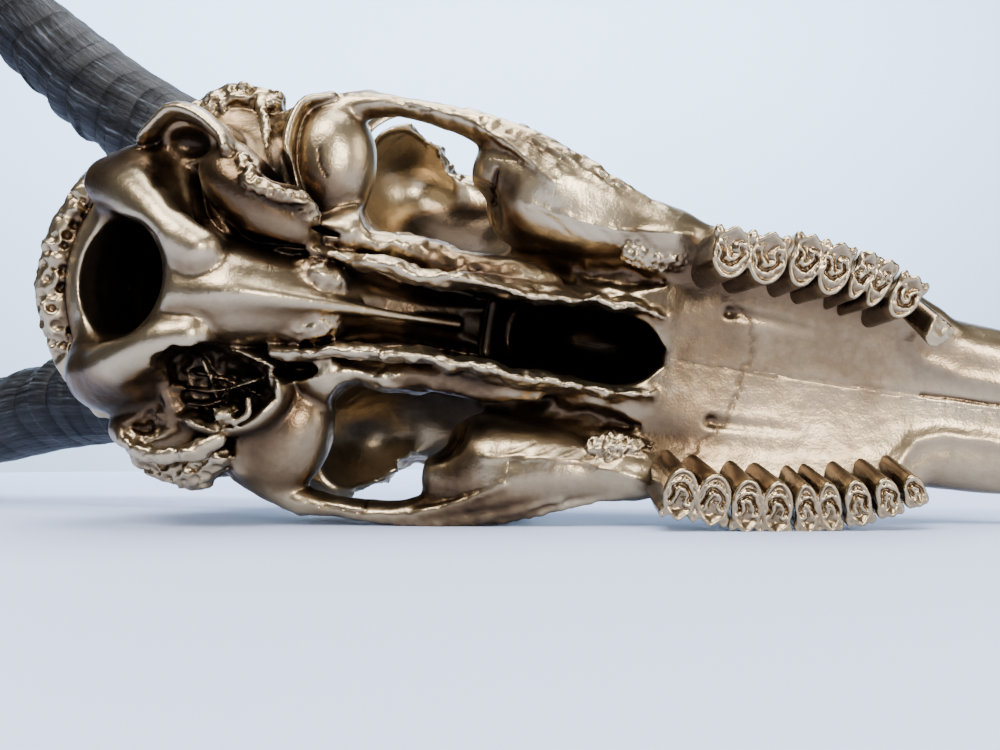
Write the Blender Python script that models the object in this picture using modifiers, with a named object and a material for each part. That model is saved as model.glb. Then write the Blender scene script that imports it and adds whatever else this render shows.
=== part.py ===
"""A gilded blesbok skull lying on its left side, at life size.

The skull is worked in its own frame, in millimetres: x runs forward to the nose, y to the
animal's left and z up to the forehead, with z = 0 on the hard palate and x = 0 behind the
occipital condyles. One empty then lays it down in its resting pose.
"""

import math

import bmesh
import bpy
import numpy as np
from mathutils import Matrix, Vector

MM = 0.001
RIGHT, LEFT = -1, 1
SIDES = {RIGHT: "right", LEFT: "left"}

# Resting pose: how the skull lies, and where its own zero stands over the floor
POSE_ROLL = math.radians(-84.43)
POSE_DIP = math.radians(9.98)
POSE_TURN = math.radians(-0.6)
POSE_PLACE = (-30.94, -176.23, 74.01)

# Whole skull
GAP = 0.32
CLAY_VOXEL = 1.5
CLAY_TRIANGLES = 7600
WARP, WARP_FROM = 3.5, 70.0

# Main heights and widths
PALATE_Z = 0.0
BROW_TOP_Z = 106.0
ARCH_HALF = 59.0
MUZZLE_X = 304.0
FACE_FROM_X = 118.0
PREMAXILLA_X = 250.0

# Horns
HORN_BASE = Vector((43.0, 27.0, 105.0))
HORN_PATH = (
    Vector((-48.0, 56.0, 150.0)),
    Vector((-114.0, 87.0, 180.0)),
    Vector((-174.0, 119.0, 228.0)),
    Vector((-213.0, 143.0, 294.0)),
    Vector((-226.0, 154.0, 362.0)),
)
HORN_SWAY = -14.0
HORN_SWAY_OVER = 230.0
HORN_RADII = ((0.0, 20.5), (0.25, 18.4), (0.45, 16.2), (0.65, 12.8), (0.82, 8.8), (0.94, 5.2), (1.0, 2.0))
HORN_RINGS = 18
HORN_RINGED = 0.74
HORN_RING_DEPTH = 0.085
HORN_SIDES = 12

# Cheek teeth: name, middle along the row, length, breadth, lobes
TOOTH_SEAT_Z = -3.0
CROWN_HEIGHT = 16.0
STUB_HEIGHT = 10.5
ROW_HALF = 34.3
ROW_STRAIGHT_TO_X = 178.0
ROW_CURVE = 0.0055
OUTWARD = 0.17
LEAN_BACK_TOOTH, LEAN_FRONT_TOOTH = 11.0, 4.0
TEETH = {
    LEFT: (
        ("m3", 168.3, 17.4, 13.2, 2),
        ("m2", 185.5, 15.6, 13.6, 2),
        ("m1", 199.8, 11.8, 12.4, 2),
        ("p4", 209.8, 7.0, 11.4, 1),
        ("p3", 217.0, 6.3, 9.6, 1),
        ("p2", 223.4, 5.4, 7.6, 1),
    ),
    RIGHT: (
        ("m3", 171.0, 19.0, 13.2, 2),
        ("m2", 189.3, 15.7, 13.6, 2),
        ("m1", 202.8, 10.0, 12.4, 2),
        ("p4", 212.3, 7.6, 11.4, 1),
    ),
}

GILT = (0.62, 0.50, 0.34, 1.0)
HORN_GREY = (0.055, 0.055, 0.06, 1.0)


def material(name, colour, roughness, metallic):
    """A plain Principled material."""
    made = bpy.data.materials.new(name)
    made.use_nodes = True
    shader = made.node_tree.nodes["Principled BSDF"]
    shader.inputs["Base Color"].default_value = colour
    shader.inputs["Roughness"].default_value = roughness
    shader.inputs["Metallic"].default_value = metallic
    return made


def start():
    """An empty scene with one collection for the skull and one for what shapes it."""
    for old in list(bpy.data.objects):
        bpy.data.objects.remove(old, do_unlink=True)
    skull = bpy.data.collections.new("blesbok_skull")
    tools = bpy.data.collections.new("cutters")
    for collection in (skull, tools):
        bpy.context.scene.collection.children.link(collection)
    return skull, tools


SKULL, TOOLS = start()


def add(name, bm):
    """A mesh object among the cutters, from a bmesh in millimetres."""
    mesh = bpy.data.meshes.new(name)
    bmesh.ops.scale(bm, vec=(MM, MM, MM), verts=bm.verts)
    bmesh.ops.recalc_face_normals(bm, faces=bm.faces)
    bm.to_mesh(mesh)
    bm.free()
    made = bpy.data.objects.new(name, mesh)
    TOOLS.objects.link(made)
    made.hide_render = True
    made.display_type = "WIRE"
    return made


def ball(centre, radii, turn=(0.0, 0.0, 0.0)):
    """An ellipsoid, turned by degrees about x, y and z."""
    bm = bmesh.new()
    bmesh.ops.create_uvsphere(bm, u_segments=28, v_segments=18, radius=1.0)
    turned = Matrix.LocRotScale(None, None, Vector(radii))
    for angle, axis in zip(turn, "XYZ"):
        turned = Matrix.Rotation(math.radians(angle), 4, axis) @ turned
    bm.transform(Matrix.Translation(Vector(centre)) @ turned)
    return add("ball", bm)


def smooth_path(points, count):
    """Points spread evenly along the smooth curve through the given ones."""
    route = [Vector(p) for p in points]
    ends = [route[0] * 2 - route[1]] + route + [route[-1] * 2 - route[-2]]
    spans = len(route) - 1
    made = []
    for i in range(count):
        at = spans * i / (count - 1)
        k = min(int(at), spans - 1)
        t = at - k
        a, b, c, d = ends[k : k + 4]
        bend, twist = 2 * a - 5 * b + 4 * c - d, 3 * b - a - 3 * c + d
        made.append(0.5 * (2 * b + (c - a) * t + bend * t * t + twist * t**3))
    return made


def blend(values, count):
    """The given values spread evenly over a count, in straight steps."""
    return np.interp(np.linspace(0, 1, count), np.linspace(0, 1, len(values)), values)


def rope(points, radii, steps=6):
    """A round bar of changing radius along a smooth path."""
    count = (len(points) - 1) * steps + 1
    curve = bpy.data.curves.new("rope", "CURVE")
    curve.dimensions = "3D"
    curve.bevel_depth = MM
    curve.bevel_resolution = 3
    curve.use_fill_caps = True
    spline = curve.splines.new("POLY")
    spline.points.add(count - 1)
    for point, place, radius in zip(spline.points, smooth_path(points, count), blend(radii, count)):
        point.co = (*(place * MM), 1.0)
        point.radius = radius
    made = bpy.data.objects.new("rope", curve)
    TOOLS.objects.link(made)
    return as_mesh(made)


def as_mesh(curve_object):
    """A curve as a closed mesh object."""
    bpy.context.view_layer.update()
    graph = bpy.context.evaluated_depsgraph_get()
    mesh = bpy.data.meshes.new_from_object(curve_object.evaluated_get(graph))
    bm = bmesh.new()
    bm.from_mesh(mesh)
    bmesh.ops.remove_doubles(bm, verts=bm.verts, dist=0.00005)
    bm.to_mesh(mesh)
    bm.free()
    made = bpy.data.objects.new(curve_object.name, mesh)
    made.matrix_world = curve_object.matrix_world
    TOOLS.objects.link(made)
    bpy.data.objects.remove(curve_object, do_unlink=True)
    made.hide_render = True
    made.display_type = "WIRE"
    return made


def skin_rings(name, rings):
    """A closed loft over rings of equal point counts."""
    bm = bmesh.new()
    made = [[bm.verts.new(p) for p in ring] for ring in rings]
    around = len(made[0])
    for one, two in zip(made, made[1:]):
        for k in range(around):
            bm.faces.new((one[k], one[(k + 1) % around], two[(k + 1) % around], two[k]))
    bm.faces.new(made[0])
    bm.faces.new(made[-1])
    return add(name, bm)


def hull(stations, middle=0.0, sides=30, low_power=0.8):
    """A loft along x over stations of (x, low, high, half width, top width as a share)."""
    count = (len(stations) - 1) * 4 + 1
    spread = np.linspace(0, 1, count)
    grid = np.linspace(0, 1, len(stations))
    columns = np.array(stations, dtype=float).T
    x, low, high, half, share = (np.interp(spread, grid, column) for column in columns)
    rings = []
    for k in range(count):
        ring = []
        for i in range(sides):
            angle = 2 * math.pi * i / sides
            across, up = math.cos(angle), math.sin(angle)
            power = low_power if up < 0 else 0.85
            across = math.copysign(abs(across) ** power, across)
            up = math.copysign(abs(up) ** power, up)
            width = half[k] * (1 - (1 - share[k]) * max(0.0, up))
            height = (low[k] + high[k]) / 2 + up * (high[k] - low[k]) / 2
            ring.append((x[k], middle + across * width, height))
        rings.append(ring)
    return skin_rings("hull", rings)


def strap(points, halves, up=(0.0, 0.0, 1.0), steps=5, sides=14):
    """A flattened bar along a path; halves are (half breadth, half height) at each point."""
    count = (len(points) - 1) * steps + 1
    route = smooth_path(points, count)
    breadth = blend([h[0] for h in halves], count)
    height = blend([h[1] for h in halves], count)
    rings = []
    for k, place in enumerate(route):
        ahead = (route[min(k + 1, count - 1)] - route[max(k - 1, 0)]).normalized()
        side = ahead.cross(Vector(up)).normalized()
        over = side.cross(ahead)
        ring = []
        for i in range(sides):
            angle = 2 * math.pi * i / sides
            ring.append(place + side * math.cos(angle) * breadth[k] + over * math.sin(angle) * height[k])
        rings.append(ring)
    return skin_rings("strap", rings)


def block(low, high, frame=None):
    """A box between two corners, in the skull's frame or in a frame of its own."""
    bm = bmesh.new()
    bmesh.ops.create_cube(bm, size=1.0)
    low, high = Vector(low), Vector(high)
    bm.transform(Matrix.LocRotScale((low + high) / 2, None, high - low))
    if frame:
        bm.transform(frame)
    return add("block", bm)


def tilted(place, ahead, across=(0.0, 1.0, 0.0)):
    """A frame at a place whose z axis points ahead and whose y axis lies across."""
    z = Vector(ahead).normalized()
    x = Vector(across).cross(z).normalized()
    turn = Matrix((x, z.cross(x), z)).transposed().to_4x4()
    return Matrix.Translation(Vector(place)) @ turn


def gather(name, pieces):
    """Joins mesh objects into one, without yet fusing them."""
    bm = bmesh.new()
    for piece in pieces:
        bm.from_mesh(piece.data)
        bpy.data.objects.remove(piece, do_unlink=True)
    mesh = bpy.data.meshes.new(name)
    bm.to_mesh(mesh)
    bm.free()
    made = bpy.data.objects.new(name, mesh)
    TOOLS.objects.link(made)
    made.hide_render = True
    made.display_type = "WIRE"
    return made


def settle(piece):
    """Applies an object's modifiers."""
    bpy.context.view_layer.update()
    graph = bpy.context.evaluated_depsgraph_get()
    mesh = bpy.data.meshes.new_from_object(piece.evaluated_get(graph))
    piece.modifiers.clear()
    piece.data = mesh
    return piece


def fuse(piece, voxel=CLAY_VOXEL):
    """Melts overlapping forms into one skin."""
    melt = piece.modifiers.new("melt", "REMESH")
    melt.mode = "VOXEL"
    melt.voxel_size = voxel * MM
    return settle(piece)


def cut(piece, cutter, operation="DIFFERENCE", keep=False):
    """One Boolean, applied; the cutter is used up unless it is kept."""
    knife = piece.modifiers.new("knife", "BOOLEAN")
    knife.operation = operation
    knife.solver = "EXACT"
    knife.object = cutter
    settle(piece)
    if not keep:
        bpy.data.objects.remove(cutter, do_unlink=True)
    return piece


def largest(piece):
    """Keeps an object's largest closed surface."""
    bm = bmesh.new()
    bm.from_mesh(piece.data)
    bmesh.ops.remove_doubles(bm, verts=bm.verts, dist=0.000002)
    left = set(bm.faces)
    best, best_size = [], -1.0
    while left:
        front = [left.pop()]
        found = list(front)
        while front:
            for edge in front.pop().edges:
                for face in edge.link_faces:
                    if face in left:
                        left.remove(face)
                        front.append(face)
                        found.append(face)
        size = abs(sum(f.calc_area() * f.normal.dot(f.calc_center_median()) for f in found))
        if size > best_size:
            best, best_size = found, size
    keep = set(best)
    bmesh.ops.delete(bm, geom=[f for f in bm.faces if f not in keep], context="FACES")
    bmesh.ops.delete(bm, geom=[v for v in bm.verts if not v.link_faces], context="VERTS")
    bmesh.ops.triangulate(bm, faces=bm.faces)
    bm.to_mesh(piece.data)
    bm.free()
    return piece


def both(make):
    """The forms of one maker on both sides."""
    return [form for side in (RIGHT, LEFT) for form in make(side)]


def on(side, *points):
    """Points given for the left, set on a side."""
    return [(x, side * y, z) for x, y, z in points]


def cranium():
    """Braincase, brow, face and muzzle."""
    return [
        ball((20, 0, 42), (46, 38, 42)),
        ball((50, 0, 74), (46, 42, 32)),
        hull(
            (
                (48, 50, 100, 36, 0.8),
                (80, 44, 107, 42, 0.84),
                (105, 30, BROW_TOP_Z, 41, 0.74),
                (125, 14, 99, 39, 0.62),
                (150, 2, 87, 37, 0.5),
                (175, PALATE_Z, 75, 35.5, 0.46),
                (200, PALATE_Z, 64, 33, 0.46),
                (216, -0.5, 56, 29, 0.5),
                (232, -1.5, 46, 25.5, 0.6),
                (252, -2, 30, 23.5, 0.66),
                (264, -2.5, 22, 21, 0.7),
                (282, -3, 14, 18.5, 0.75),
                (296, -4, 8, 18, 0.8),
                (MUZZLE_X, -4.5, 2, 13, 0.9),
            ),
            low_power=0.6,
        ),
        strap(
            ((108, 0, 99), (150, 0, 83), (200, 0, 60), (240, 0, 45), (262, 0, 40.5)),
            ((17, 5), (16, 5), (15.5, 4.6), (13.5, 4.2), (7, 2.6)),
        ),
    ]


def brow(side):
    """Horn core, brow ridge and the ring of bone round the orbit."""
    return [
        rope(on(side, (66, 20, 86), (52, 25, 97), (34, 30, 113)), (22, 23, 22)),
        ball((64, side * 43, 76), (22, 19, 17)),
        rope(
            on(
                side,
                (61, 60, 20),
                (56.5, 61.5, 38),
                (56, 60.5, 54),
                (65, 60, 65),
                (77, 55, 70),
                (91, 46, 77),
                (106, 45, 79),
                (118, 47, 68),
                (124, 49, 50),
                (120, 49, 34),
                (110, 49, 22),
            ),
            (4.6, 4.0, 4.6, 4.6, 4.4, 5.0, 5.0, 4.6, 4.4, 4.6, 5.0),
        ),
        ball((90, side * 38, 88), (22, 12, 12)),
    ]


def arch(side):
    """Cheek arch, jaw joint and the rough cheek bone."""
    bar = on(
        side,
        (44, 50, 17),
        (56, 57.8, 15),
        (70, ARCH_HALF, 15),
        (86, ARCH_HALF - 1.2, 14),
        (100, 54, 13),
        (114, 49, 13),
    )
    cheek = on(side, (104, 46, 14), (118, 42.4, 11), (134, 38, 8), (152, 35.5, 6))
    socket = on(side, (53, 28, 16), (53, 40, 15), (54, 48, 15.5), (57, 58, 18))
    return [
        strap(bar, ((7, 6), (4.6, 6), (3.0, 7.0), (3.2, 7.4), (4.8, 8.5), (8, 9.5))),
        strap(socket, ((10, 10), (10, 11), (9.6, 10), (6, 7))),
        rope(on(side, (45, 30, 7), (43, 38, 9), (43, 47, 10), (49, 56, 12)), (3.6, 3.6, 3.6, 3.8)),
        ball((36, side * 42, 26), (18, 14, 14)),
        strap(cheek, ((12, 10), (12, 11.5), (9, 10), (6, 8))),
        ball((113, side * 37, 22), (13, 12, 21)),
        ball((130, side * 33, 17), (25, 10, 17)),
    ]


def skull_base(side):
    """Condyle, the bone beside it, the process behind the ear and the floor of the braincase."""
    return [
        strap(
            on(side, (-8, 26.5, 8), (2, 23.5, 1), (13, 18.6, -6), (23, 14.4, -9.6), (30.5, 11, -9.6)),
            ((8.4, 7.6), (8.6, 8), (8.4, 8.4), (7.8, 8), (6, 6)),
            up=(0.5, 0.0, -1.0),
        ),
        ball((6, side * 30, 14), (16, 14, 14)),
        rope(on(side, (4, 40, 16), (9, 44, 2), (20, 42, -4)), (6, 5.5, 4.6)),
        ball((22, side * 50, 26), (14, 11, 11)),
        ball((30, side * 30, 16), (26, 16, 14)),
        ball((62, side * 20, 22), (18, 13, 13)),
    ]


def ear_bulla():
    """The whole bulla of the right side, with the ridge that runs back from it."""
    return [
        ball((38, -24, 1), (18, 12, 13), (0, 0, 18)),
        rope(on(RIGHT, (14, 44, -1), (26, 40, -8), (38, 35, -8), (50, 27, -3)), (4.5, 6.0, 6.0, 4.0)),
    ]


def broken_bulla():
    """What is left of the left bulla: a low cup and the ridge beside it."""
    return [
        ball((36, 28, 5), (17, 12.5, 13)),
        rope(on(LEFT, (14, 46, 1), (26, 48, 0), (37, 44, 3)), (5.0, 4.5, 4.0)),
    ]


def occiput():
    """The leaning back wall of the skull, its crest and the keel in front of it."""
    half_crest = ((4, 45, 37), (-12, 37, 36), (-24.5, 20, 33))
    crest = on(RIGHT, *half_crest) + [(-28.5, 0, 32)] + on(LEFT, *reversed(half_crest))
    return [
        ball((-7, 0, 27), (16, 37, 22), (0, -30, 0)),
        rope(crest, (5, 5, 4.6, 4.6, 4.6, 5, 5)),
        ball((-4, 0, 52), (22, 30, 22)),
        hull(
            (
                (14, -12, 20, 15, 1.0),
                (26, -14, 20, 14.5, 1.0),
                (40, -13, 24, 12, 1.0),
                (57, -6, 28, 11, 1.0),
                (80, 4, 36, 9, 1.0),
                (104, 12, 44, 9, 1.0),
            ),
            low_power=1.0,
        ),
    ]


def wings(side):
    """The thin walls beside the choana, from the bulla to the palate."""
    edge = ((52, 15, 3), (68, 12.4, 2), (84, 11.2, 2), (108, 11.4, 4), (126, 12.6, 6), (148, 14, 5))
    lower = on(side, *edge)
    upper = [(x, y, z + 14) for x, y, z in lower[1:]]
    return [
        strap(lower, ((2.6, 5), (2.0, 6), (2.0, 6.5), (2.0, 9), (2.2, 9), (3.0, 8))),
        strap(upper, ((2.4, 9), (2.4, 11), (2.4, 13), (2.4, 13), (3.0, 11))),
    ]


def tooth_rim(side):
    """The raised rim that holds one row of cheek teeth."""
    line = ((150, 31.5, 4), (170, 31, 3), (190, 30, 3), (205, 28, 3), (216, 25, 3), (228, 20.5, 3))
    return [strap(on(side, *line), ((6, 6), (7, 6.8), (7, 6.8), (6.6, 6.6), (6, 6), (4, 4)))]


def hollows():
    """Brain cavity, choana, the broken bulla and the nose."""
    return [
        strap(
            ((14, 2.5, -30), (8, 2.5, -10), (0, 1.5, 7), (1, 0, 26)),
            ((17, 12.5), (16.8, 12.2), (16.5, 13.5), (17.5, 14)),
            up=(1, 0, 0),
        ),
        ball((20, 0, 36), (25.5, 23, 20)),
        hull(
            (
                (66, -20, 4, 5, 1.0),
                (84, -20, 9, 8, 1.0),
                (104, -20, 19, 9.4, 1.0),
                (124, -20, 30, 10.6, 1.0),
                (140, -20, 32, 10.2, 1.0),
                (149, -20, 28, 6.5, 1.0),
                (154, -20, 20, 1.5, 1.0),
            )
        ),
        ball((36, 28, -4), (13, 8.5, 14)),
        hull(
            (
                (206, 16, 46, 6, 0.9),
                (226, 8, 41, 16, 0.8),
                (250, 5, 42, 15.5, 0.8),
                (300, 2.5, 40, 12, 0.8),
            )
        ),
    ]


def side_hollows(side):
    """Orbit, temporal hollow, the gaps beside the choana, ear pits and the slits behind the muzzle."""
    return [
        ball((71, side * 42, 46), (20, 17.5, 23)),
        ball((92, side * 40, 46), (27, 24, 26)),
        ball((101, side * 62, 52), (22, 24, 19)),
        strap(on(side, (84, 33, -18), (84, 33, 10), (82, 34, 40)), ((16, 20),) * 3, up=(0.0, 1.0, 0.0)),
        ball((40, side * 57, 62), (18, 15, 34)),
        ball((52, side * 53, 46), (11, 9, 22)),
        hull(
            ((100, -20, 27, 7, 1), (116, -20, 26, 8, 1), (134, -20, 20, 7, 1), (147, -20, 10, 3, 1)),
            middle=side * 20.5,
        ),
        ball((13, side * 37, -2), (7, 5, 12)),
        ball((40, side * 38, 4), (6, 4.5, 12)),
        strap(on(side, (256, 6.5, 0), (272, 7, 0), (286, 6, 0)), ((1.6, 20), (3.2, 20), (1.6, 20))),
    ]


def clay():
    """The whole bony skull as one dense skin, then made coarse."""
    first = cranium() + both(brow) + both(arch) + both(skull_base) + occiput() + broken_bulla()
    bone = fuse(gather("bone", first))
    cut(bone, fuse(gather("hollow", hollows() + both(side_hollows))))
    later = both(wings) + both(tooth_rim) + ear_bulla()
    bone = fuse(gather("bone", [bone] + later))
    soften = bone.modifiers.new("soften", "SMOOTH")
    soften.factor = 0.5
    soften.iterations = 4
    settle(bone)
    few = bone.modifiers.new("few", "DECIMATE")
    few.ratio = CLAY_TRIANGLES / (2 * len(bone.data.polygons))
    return settle(bone)


def sway(x):
    """How far both horns lean to the right at a place x along the head."""
    return HORN_SWAY * min(1.0, (HORN_BASE.x - x) / HORN_SWAY_OVER)


def horn_route(side):
    """The points that a horn runs through, from its foot to its tip."""
    return [Vector((p.x, side * p.y + sway(p.x), p.z)) for p in (HORN_BASE, *HORN_PATH)]


def horn_frame(side):
    """The frame at the foot of a horn, z along its axis."""
    base, first = horn_route(side)[:2]
    return tilted(base, first - base)


def part_off(rest, name, region):
    """Cuts a region out of what is left of the skull, with half the gap on each side of the seam."""
    piece = bpy.data.objects.new(name, rest.data.copy())
    TOOLS.objects.link(piece)
    cut(piece, region(-GAP / 2), "INTERSECT")
    cut(rest, region(GAP / 2))
    return largest(piece)


def behind(place, ahead):
    """The half space behind a plane, as a wide box."""
    far = 500
    return lambda grow: block((-far, -far, -far), (far, far, grow), tilted(place, ahead))


def above(place, ahead):
    """The half space in front of a plane, as a wide box."""
    far = 500
    return lambda grow: block((-far, -far, -grow), (far, far, far), tilted(place, ahead))


def box_region(low, high):
    """A plain box as a region."""
    return lambda grow: block(Vector(low) - Vector((grow,) * 3), Vector(high) + Vector((grow,) * 3))


def finish(piece, finish_material):
    """Moves a finished solid into the skull's own collection and under its pose."""
    for vertex in piece.data.vertices:
        vertex.co = warp(vertex.co)
    TOOLS.objects.unlink(piece)
    SKULL.objects.link(piece)
    piece.hide_render = False
    piece.display_type = "TEXTURED"
    piece.data.materials.clear()
    piece.data.materials.append(finish_material)
    piece.parent = REST


REST = bpy.data.objects.new("rest", None)


def bones(bone):
    """Parts the bony skull along its main seams."""
    far = 400
    for side in (RIGHT, LEFT):
        cut(bone, block((-25, -25, 0), (25, 25, 40), horn_frame(side)))
        inner, outer = sorted((side * 19.5, side * 48))
        cut(bone, block((153, inner, -20), (229, outer, TOOTH_SEAT_Z)))
    made = [part_off(bone, "occipital_bone", behind((8, 0, 15), (0.78, 0, 0.625)))]
    for side, word in SIDES.items():
        inner, outer = sorted((0, side * far))
        face = part_off(bone, "maxilla_" + word, box_region((FACE_FROM_X, inner, -far), (far, outer, far)))
        made.append(part_off(face, "nasal_" + word, above((118, 0, 91), (0.374, 0, 0.927))))
        front = box_region((PREMAXILLA_X, -far, -far), (far, far, far))
        made.append(part_off(face, "premaxilla_" + word, front))
        made.append(largest(face))
        inner, outer = sorted((side * 47, side * far))
        low, high = (66, inner, -far), (FACE_FROM_X, outer, 58)
        made.append(part_off(bone, "zygomatic_arch_" + word, box_region(low, high)))
    made.append(part_off(bone, "frontal_bone", above((118, 0, 38), (0.435, 0, 0.9))))
    bone.name = "braincase"
    made.append(largest(bone))
    return made


def warp(place):
    """The slight twist of the back of the skull towards its left."""
    share = min(1.0, max(0.0, (WARP_FROM - place.x / MM) / WARP_FROM))
    return Vector((place.x, place.y + WARP * MM * share, place.z))


def horn(side):
    """One ringed horn, swept back, out and up along its smooth path."""
    base, *path = horn_route(side)
    start_at = base + (path[0] - base).normalized() * GAP
    count = HORN_RINGS * 3 + 12
    ringed = HORN_RINGS * 3
    shares = [HORN_RINGED * i / ringed for i in range(ringed)]
    shares += [HORN_RINGED + (1 - HORN_RINGED) * i / (count - ringed - 1) for i in range(count - ringed)]
    fine = smooth_path([start_at] + path, 400)
    stops, radii = zip(*HORN_RADII)
    front = Vector((1, 0, 0))
    rings = []
    for k, share in enumerate(shares):
        here = fine[min(399, round(share * 399))]
        ahead = (fine[min(399, round(share * 399) + 2)] - fine[max(0, round(share * 399) - 2)]).normalized()
        across = front.cross(ahead).normalized()
        over = ahead.cross(across)
        radius = float(np.interp(share, stops, radii))
        swell = (0.0, 1.0, 0.35)[k % 3] if 0 < k < ringed else 0.0
        ring = []
        for i in range(HORN_SIDES):
            angle = 2 * math.pi * i / HORN_SIDES
            bump = 1 + HORN_RING_DEPTH * swell * (0.7 + 0.3 * math.cos(angle))
            ring.append(here + (across * math.sin(angle) + over * math.cos(angle)) * radius * bump)
        rings.append(ring)
    return skin_rings("horn_" + SIDES[side], rings)


def row_y(side, x):
    """How far out the middle of the tooth row stands at x."""
    half = ROW_HALF - ROW_CURVE * max(0.0, x - ROW_STRAIGHT_TO_X) ** 2
    return side * (half if side == LEFT else half - 2.2)


def crown(side, name, x, length, breadth, lobes, tall=CROWN_HEIGHT):
    """One high-crowned cheek tooth, with a waist between its lobes and a sunk chewing face."""
    points = 24 if lobes == 2 else 16
    lean = math.radians(np.interp(x, (165, 212), (LEAN_BACK_TOOTH, LEAN_FRONT_TOOTH)))
    top = Vector((x, row_y(side, x), TOOTH_SEAT_Z - tall))
    foot = Vector((x - tall * math.tan(lean), top.y - side * tall * OUTWARD, TOOTH_SEAT_Z - GAP))
    heading = -side * 2 * ROW_CURVE * max(0.0, x - ROW_STRAIGHT_TO_X)
    along = Vector((1, heading, 0)).normalized()
    across = Vector((-along.y, along.x, 0))
    levels = ((0.0, 0.9, 0), (0.55, 0.97, 0), (1.0, 1.0, 0), (1.0, 0.74, 0), (1.0, 0.5, 2.0))
    rings = []
    for up, scale, sunk in levels:
        middle = foot.lerp(top, up)
        ring = []
        for i in range(points):
            angle = 2 * math.pi * i / points
            a = math.copysign(abs(math.cos(angle)) ** 0.75, math.cos(angle))
            b = math.copysign(abs(math.sin(angle)) ** 0.75, math.sin(angle))
            waist = 1 - 0.2 * math.exp(-((a / 0.22) ** 2)) if lobes == 2 else 1
            place = middle + along * a * length / 2 * scale + across * b * breadth / 2 * scale * waist
            ring.append(place + Vector((0, 0, sunk)))
        rings.append(ring)
    return skin_rings(f"tooth_{name}_{SIDES[side]}", rings)


def main():
    gilt = material("gilt", GILT, 0.3, 1.0)
    keratin = material("horn_grey", HORN_GREY, 0.55, 0.0)
    SKULL.objects.link(REST)
    REST.rotation_euler = (POSE_ROLL, POSE_DIP, POSE_TURN)
    REST.location = Vector(POSE_PLACE) * MM
    for piece in bones(clay()):
        finish(piece, gilt)
    for side in (RIGHT, LEFT):
        finish(horn(side), keratin)
        for tooth in TEETH[side]:
            finish(crown(side, *tooth), gilt)
    finish(crown(RIGHT, "p3", 220.4, 6.2, 6.4, 1, STUB_HEIGHT), gilt)


main()
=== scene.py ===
# %% [markdown]
# # A gilded blesbok skull
#
# This notebook dresses one still model: the skull of a blesbok, a South African antelope, that was
# sprayed champagne gold all over its bone and teeth, with its dark horns left bare. It lies on its
# left side, so the camera looks at the palate, the tooth rows and the floor of the braincase.
#
# The plain solids come packed as a frame. We keep them for their size and place, and build the
# surface that the eye sees around them: bone worked like clay, teeth cut with their enamel folds,
# and ringed horns.

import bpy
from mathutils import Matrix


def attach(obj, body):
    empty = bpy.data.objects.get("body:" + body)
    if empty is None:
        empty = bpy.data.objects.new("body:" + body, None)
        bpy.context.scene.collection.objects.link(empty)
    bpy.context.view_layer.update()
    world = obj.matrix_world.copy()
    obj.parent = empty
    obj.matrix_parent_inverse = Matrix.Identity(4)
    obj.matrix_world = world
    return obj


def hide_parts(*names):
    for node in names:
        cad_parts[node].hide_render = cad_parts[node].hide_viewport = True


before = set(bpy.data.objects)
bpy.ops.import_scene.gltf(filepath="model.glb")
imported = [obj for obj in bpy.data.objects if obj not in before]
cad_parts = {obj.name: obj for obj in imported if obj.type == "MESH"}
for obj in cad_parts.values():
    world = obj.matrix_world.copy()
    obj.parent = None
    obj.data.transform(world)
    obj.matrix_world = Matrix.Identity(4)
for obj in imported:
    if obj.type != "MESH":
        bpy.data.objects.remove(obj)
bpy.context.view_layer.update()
print("solids:", len(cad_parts))

# %% Tools used throughout
import math

import bpy
import numpy as np
from mathutils import Euler, Matrix, Vector

MM = 0.001
RIGHT, LEFT = -1, 1
SIDES = {RIGHT: "right", LEFT: "left"}

# %% [markdown]
# ## Where the skull lies
#
# A skull is easiest to think about in its own directions: x forward to the nose, y to the
# animal's left and z up to the forehead, in millimetres, with zero on the hard palate. One matrix
# lays that frame down on its left side. The back of this skull is also slightly twisted to its
# left, so a small sideways shift grows towards the back of the head.

# %% The resting pose
POSE = Euler((math.radians(-84.43), math.radians(9.98), math.radians(-0.6)), "XYZ")
POSE_PLACE = Vector((-30.94, -176.23, 74.01))
REST = Matrix.Translation(POSE_PLACE * MM) @ POSE.to_matrix().to_4x4() @ Matrix.Scale(MM, 4)
WARP, WARP_FROM = 3.5, 70.0


def laid_down(points):
    """Places of the skull's own frame, as places in the room."""
    points = np.array(points, np.float64).reshape(-1, 3)
    share = np.clip((WARP_FROM - points[:, 0]) / WARP_FROM, 0, 1)
    points = points + np.stack([0 * share, WARP * share, 0 * share], axis=1)
    turn = np.array(REST.to_3x3())
    return points @ turn.T + np.array(REST.translation)


print("palate middle stands at", [round(float(v), 3) for v in laid_down([(180, 0, 0)])[0]])

# %% [markdown]
# ## The camera
#
# The photograph was taken from close by, 320 mm below the palate, which is why the back of the
# skull looks so large. A camera stays honest when it's tied to the thing it looks at: this one is
# placed in the skull's own frame. A lens of 41.4 mm on a 36 mm sensor gives the photo's angle.


# %% Camera
def put_in(name, data):
    """An object in the scene, made from its data."""
    made = bpy.data.objects.new(name, data)
    bpy.context.scene.collection.objects.link(made)
    return made


VIEW_FROM = Vector((118.0, 0.0, -320.0))
PHOTO_POSE = Euler((math.radians(-84.7), math.radians(9.6), math.radians(-0.6)), "XYZ")
LOOKING_UP = math.radians(93.23)

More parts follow.
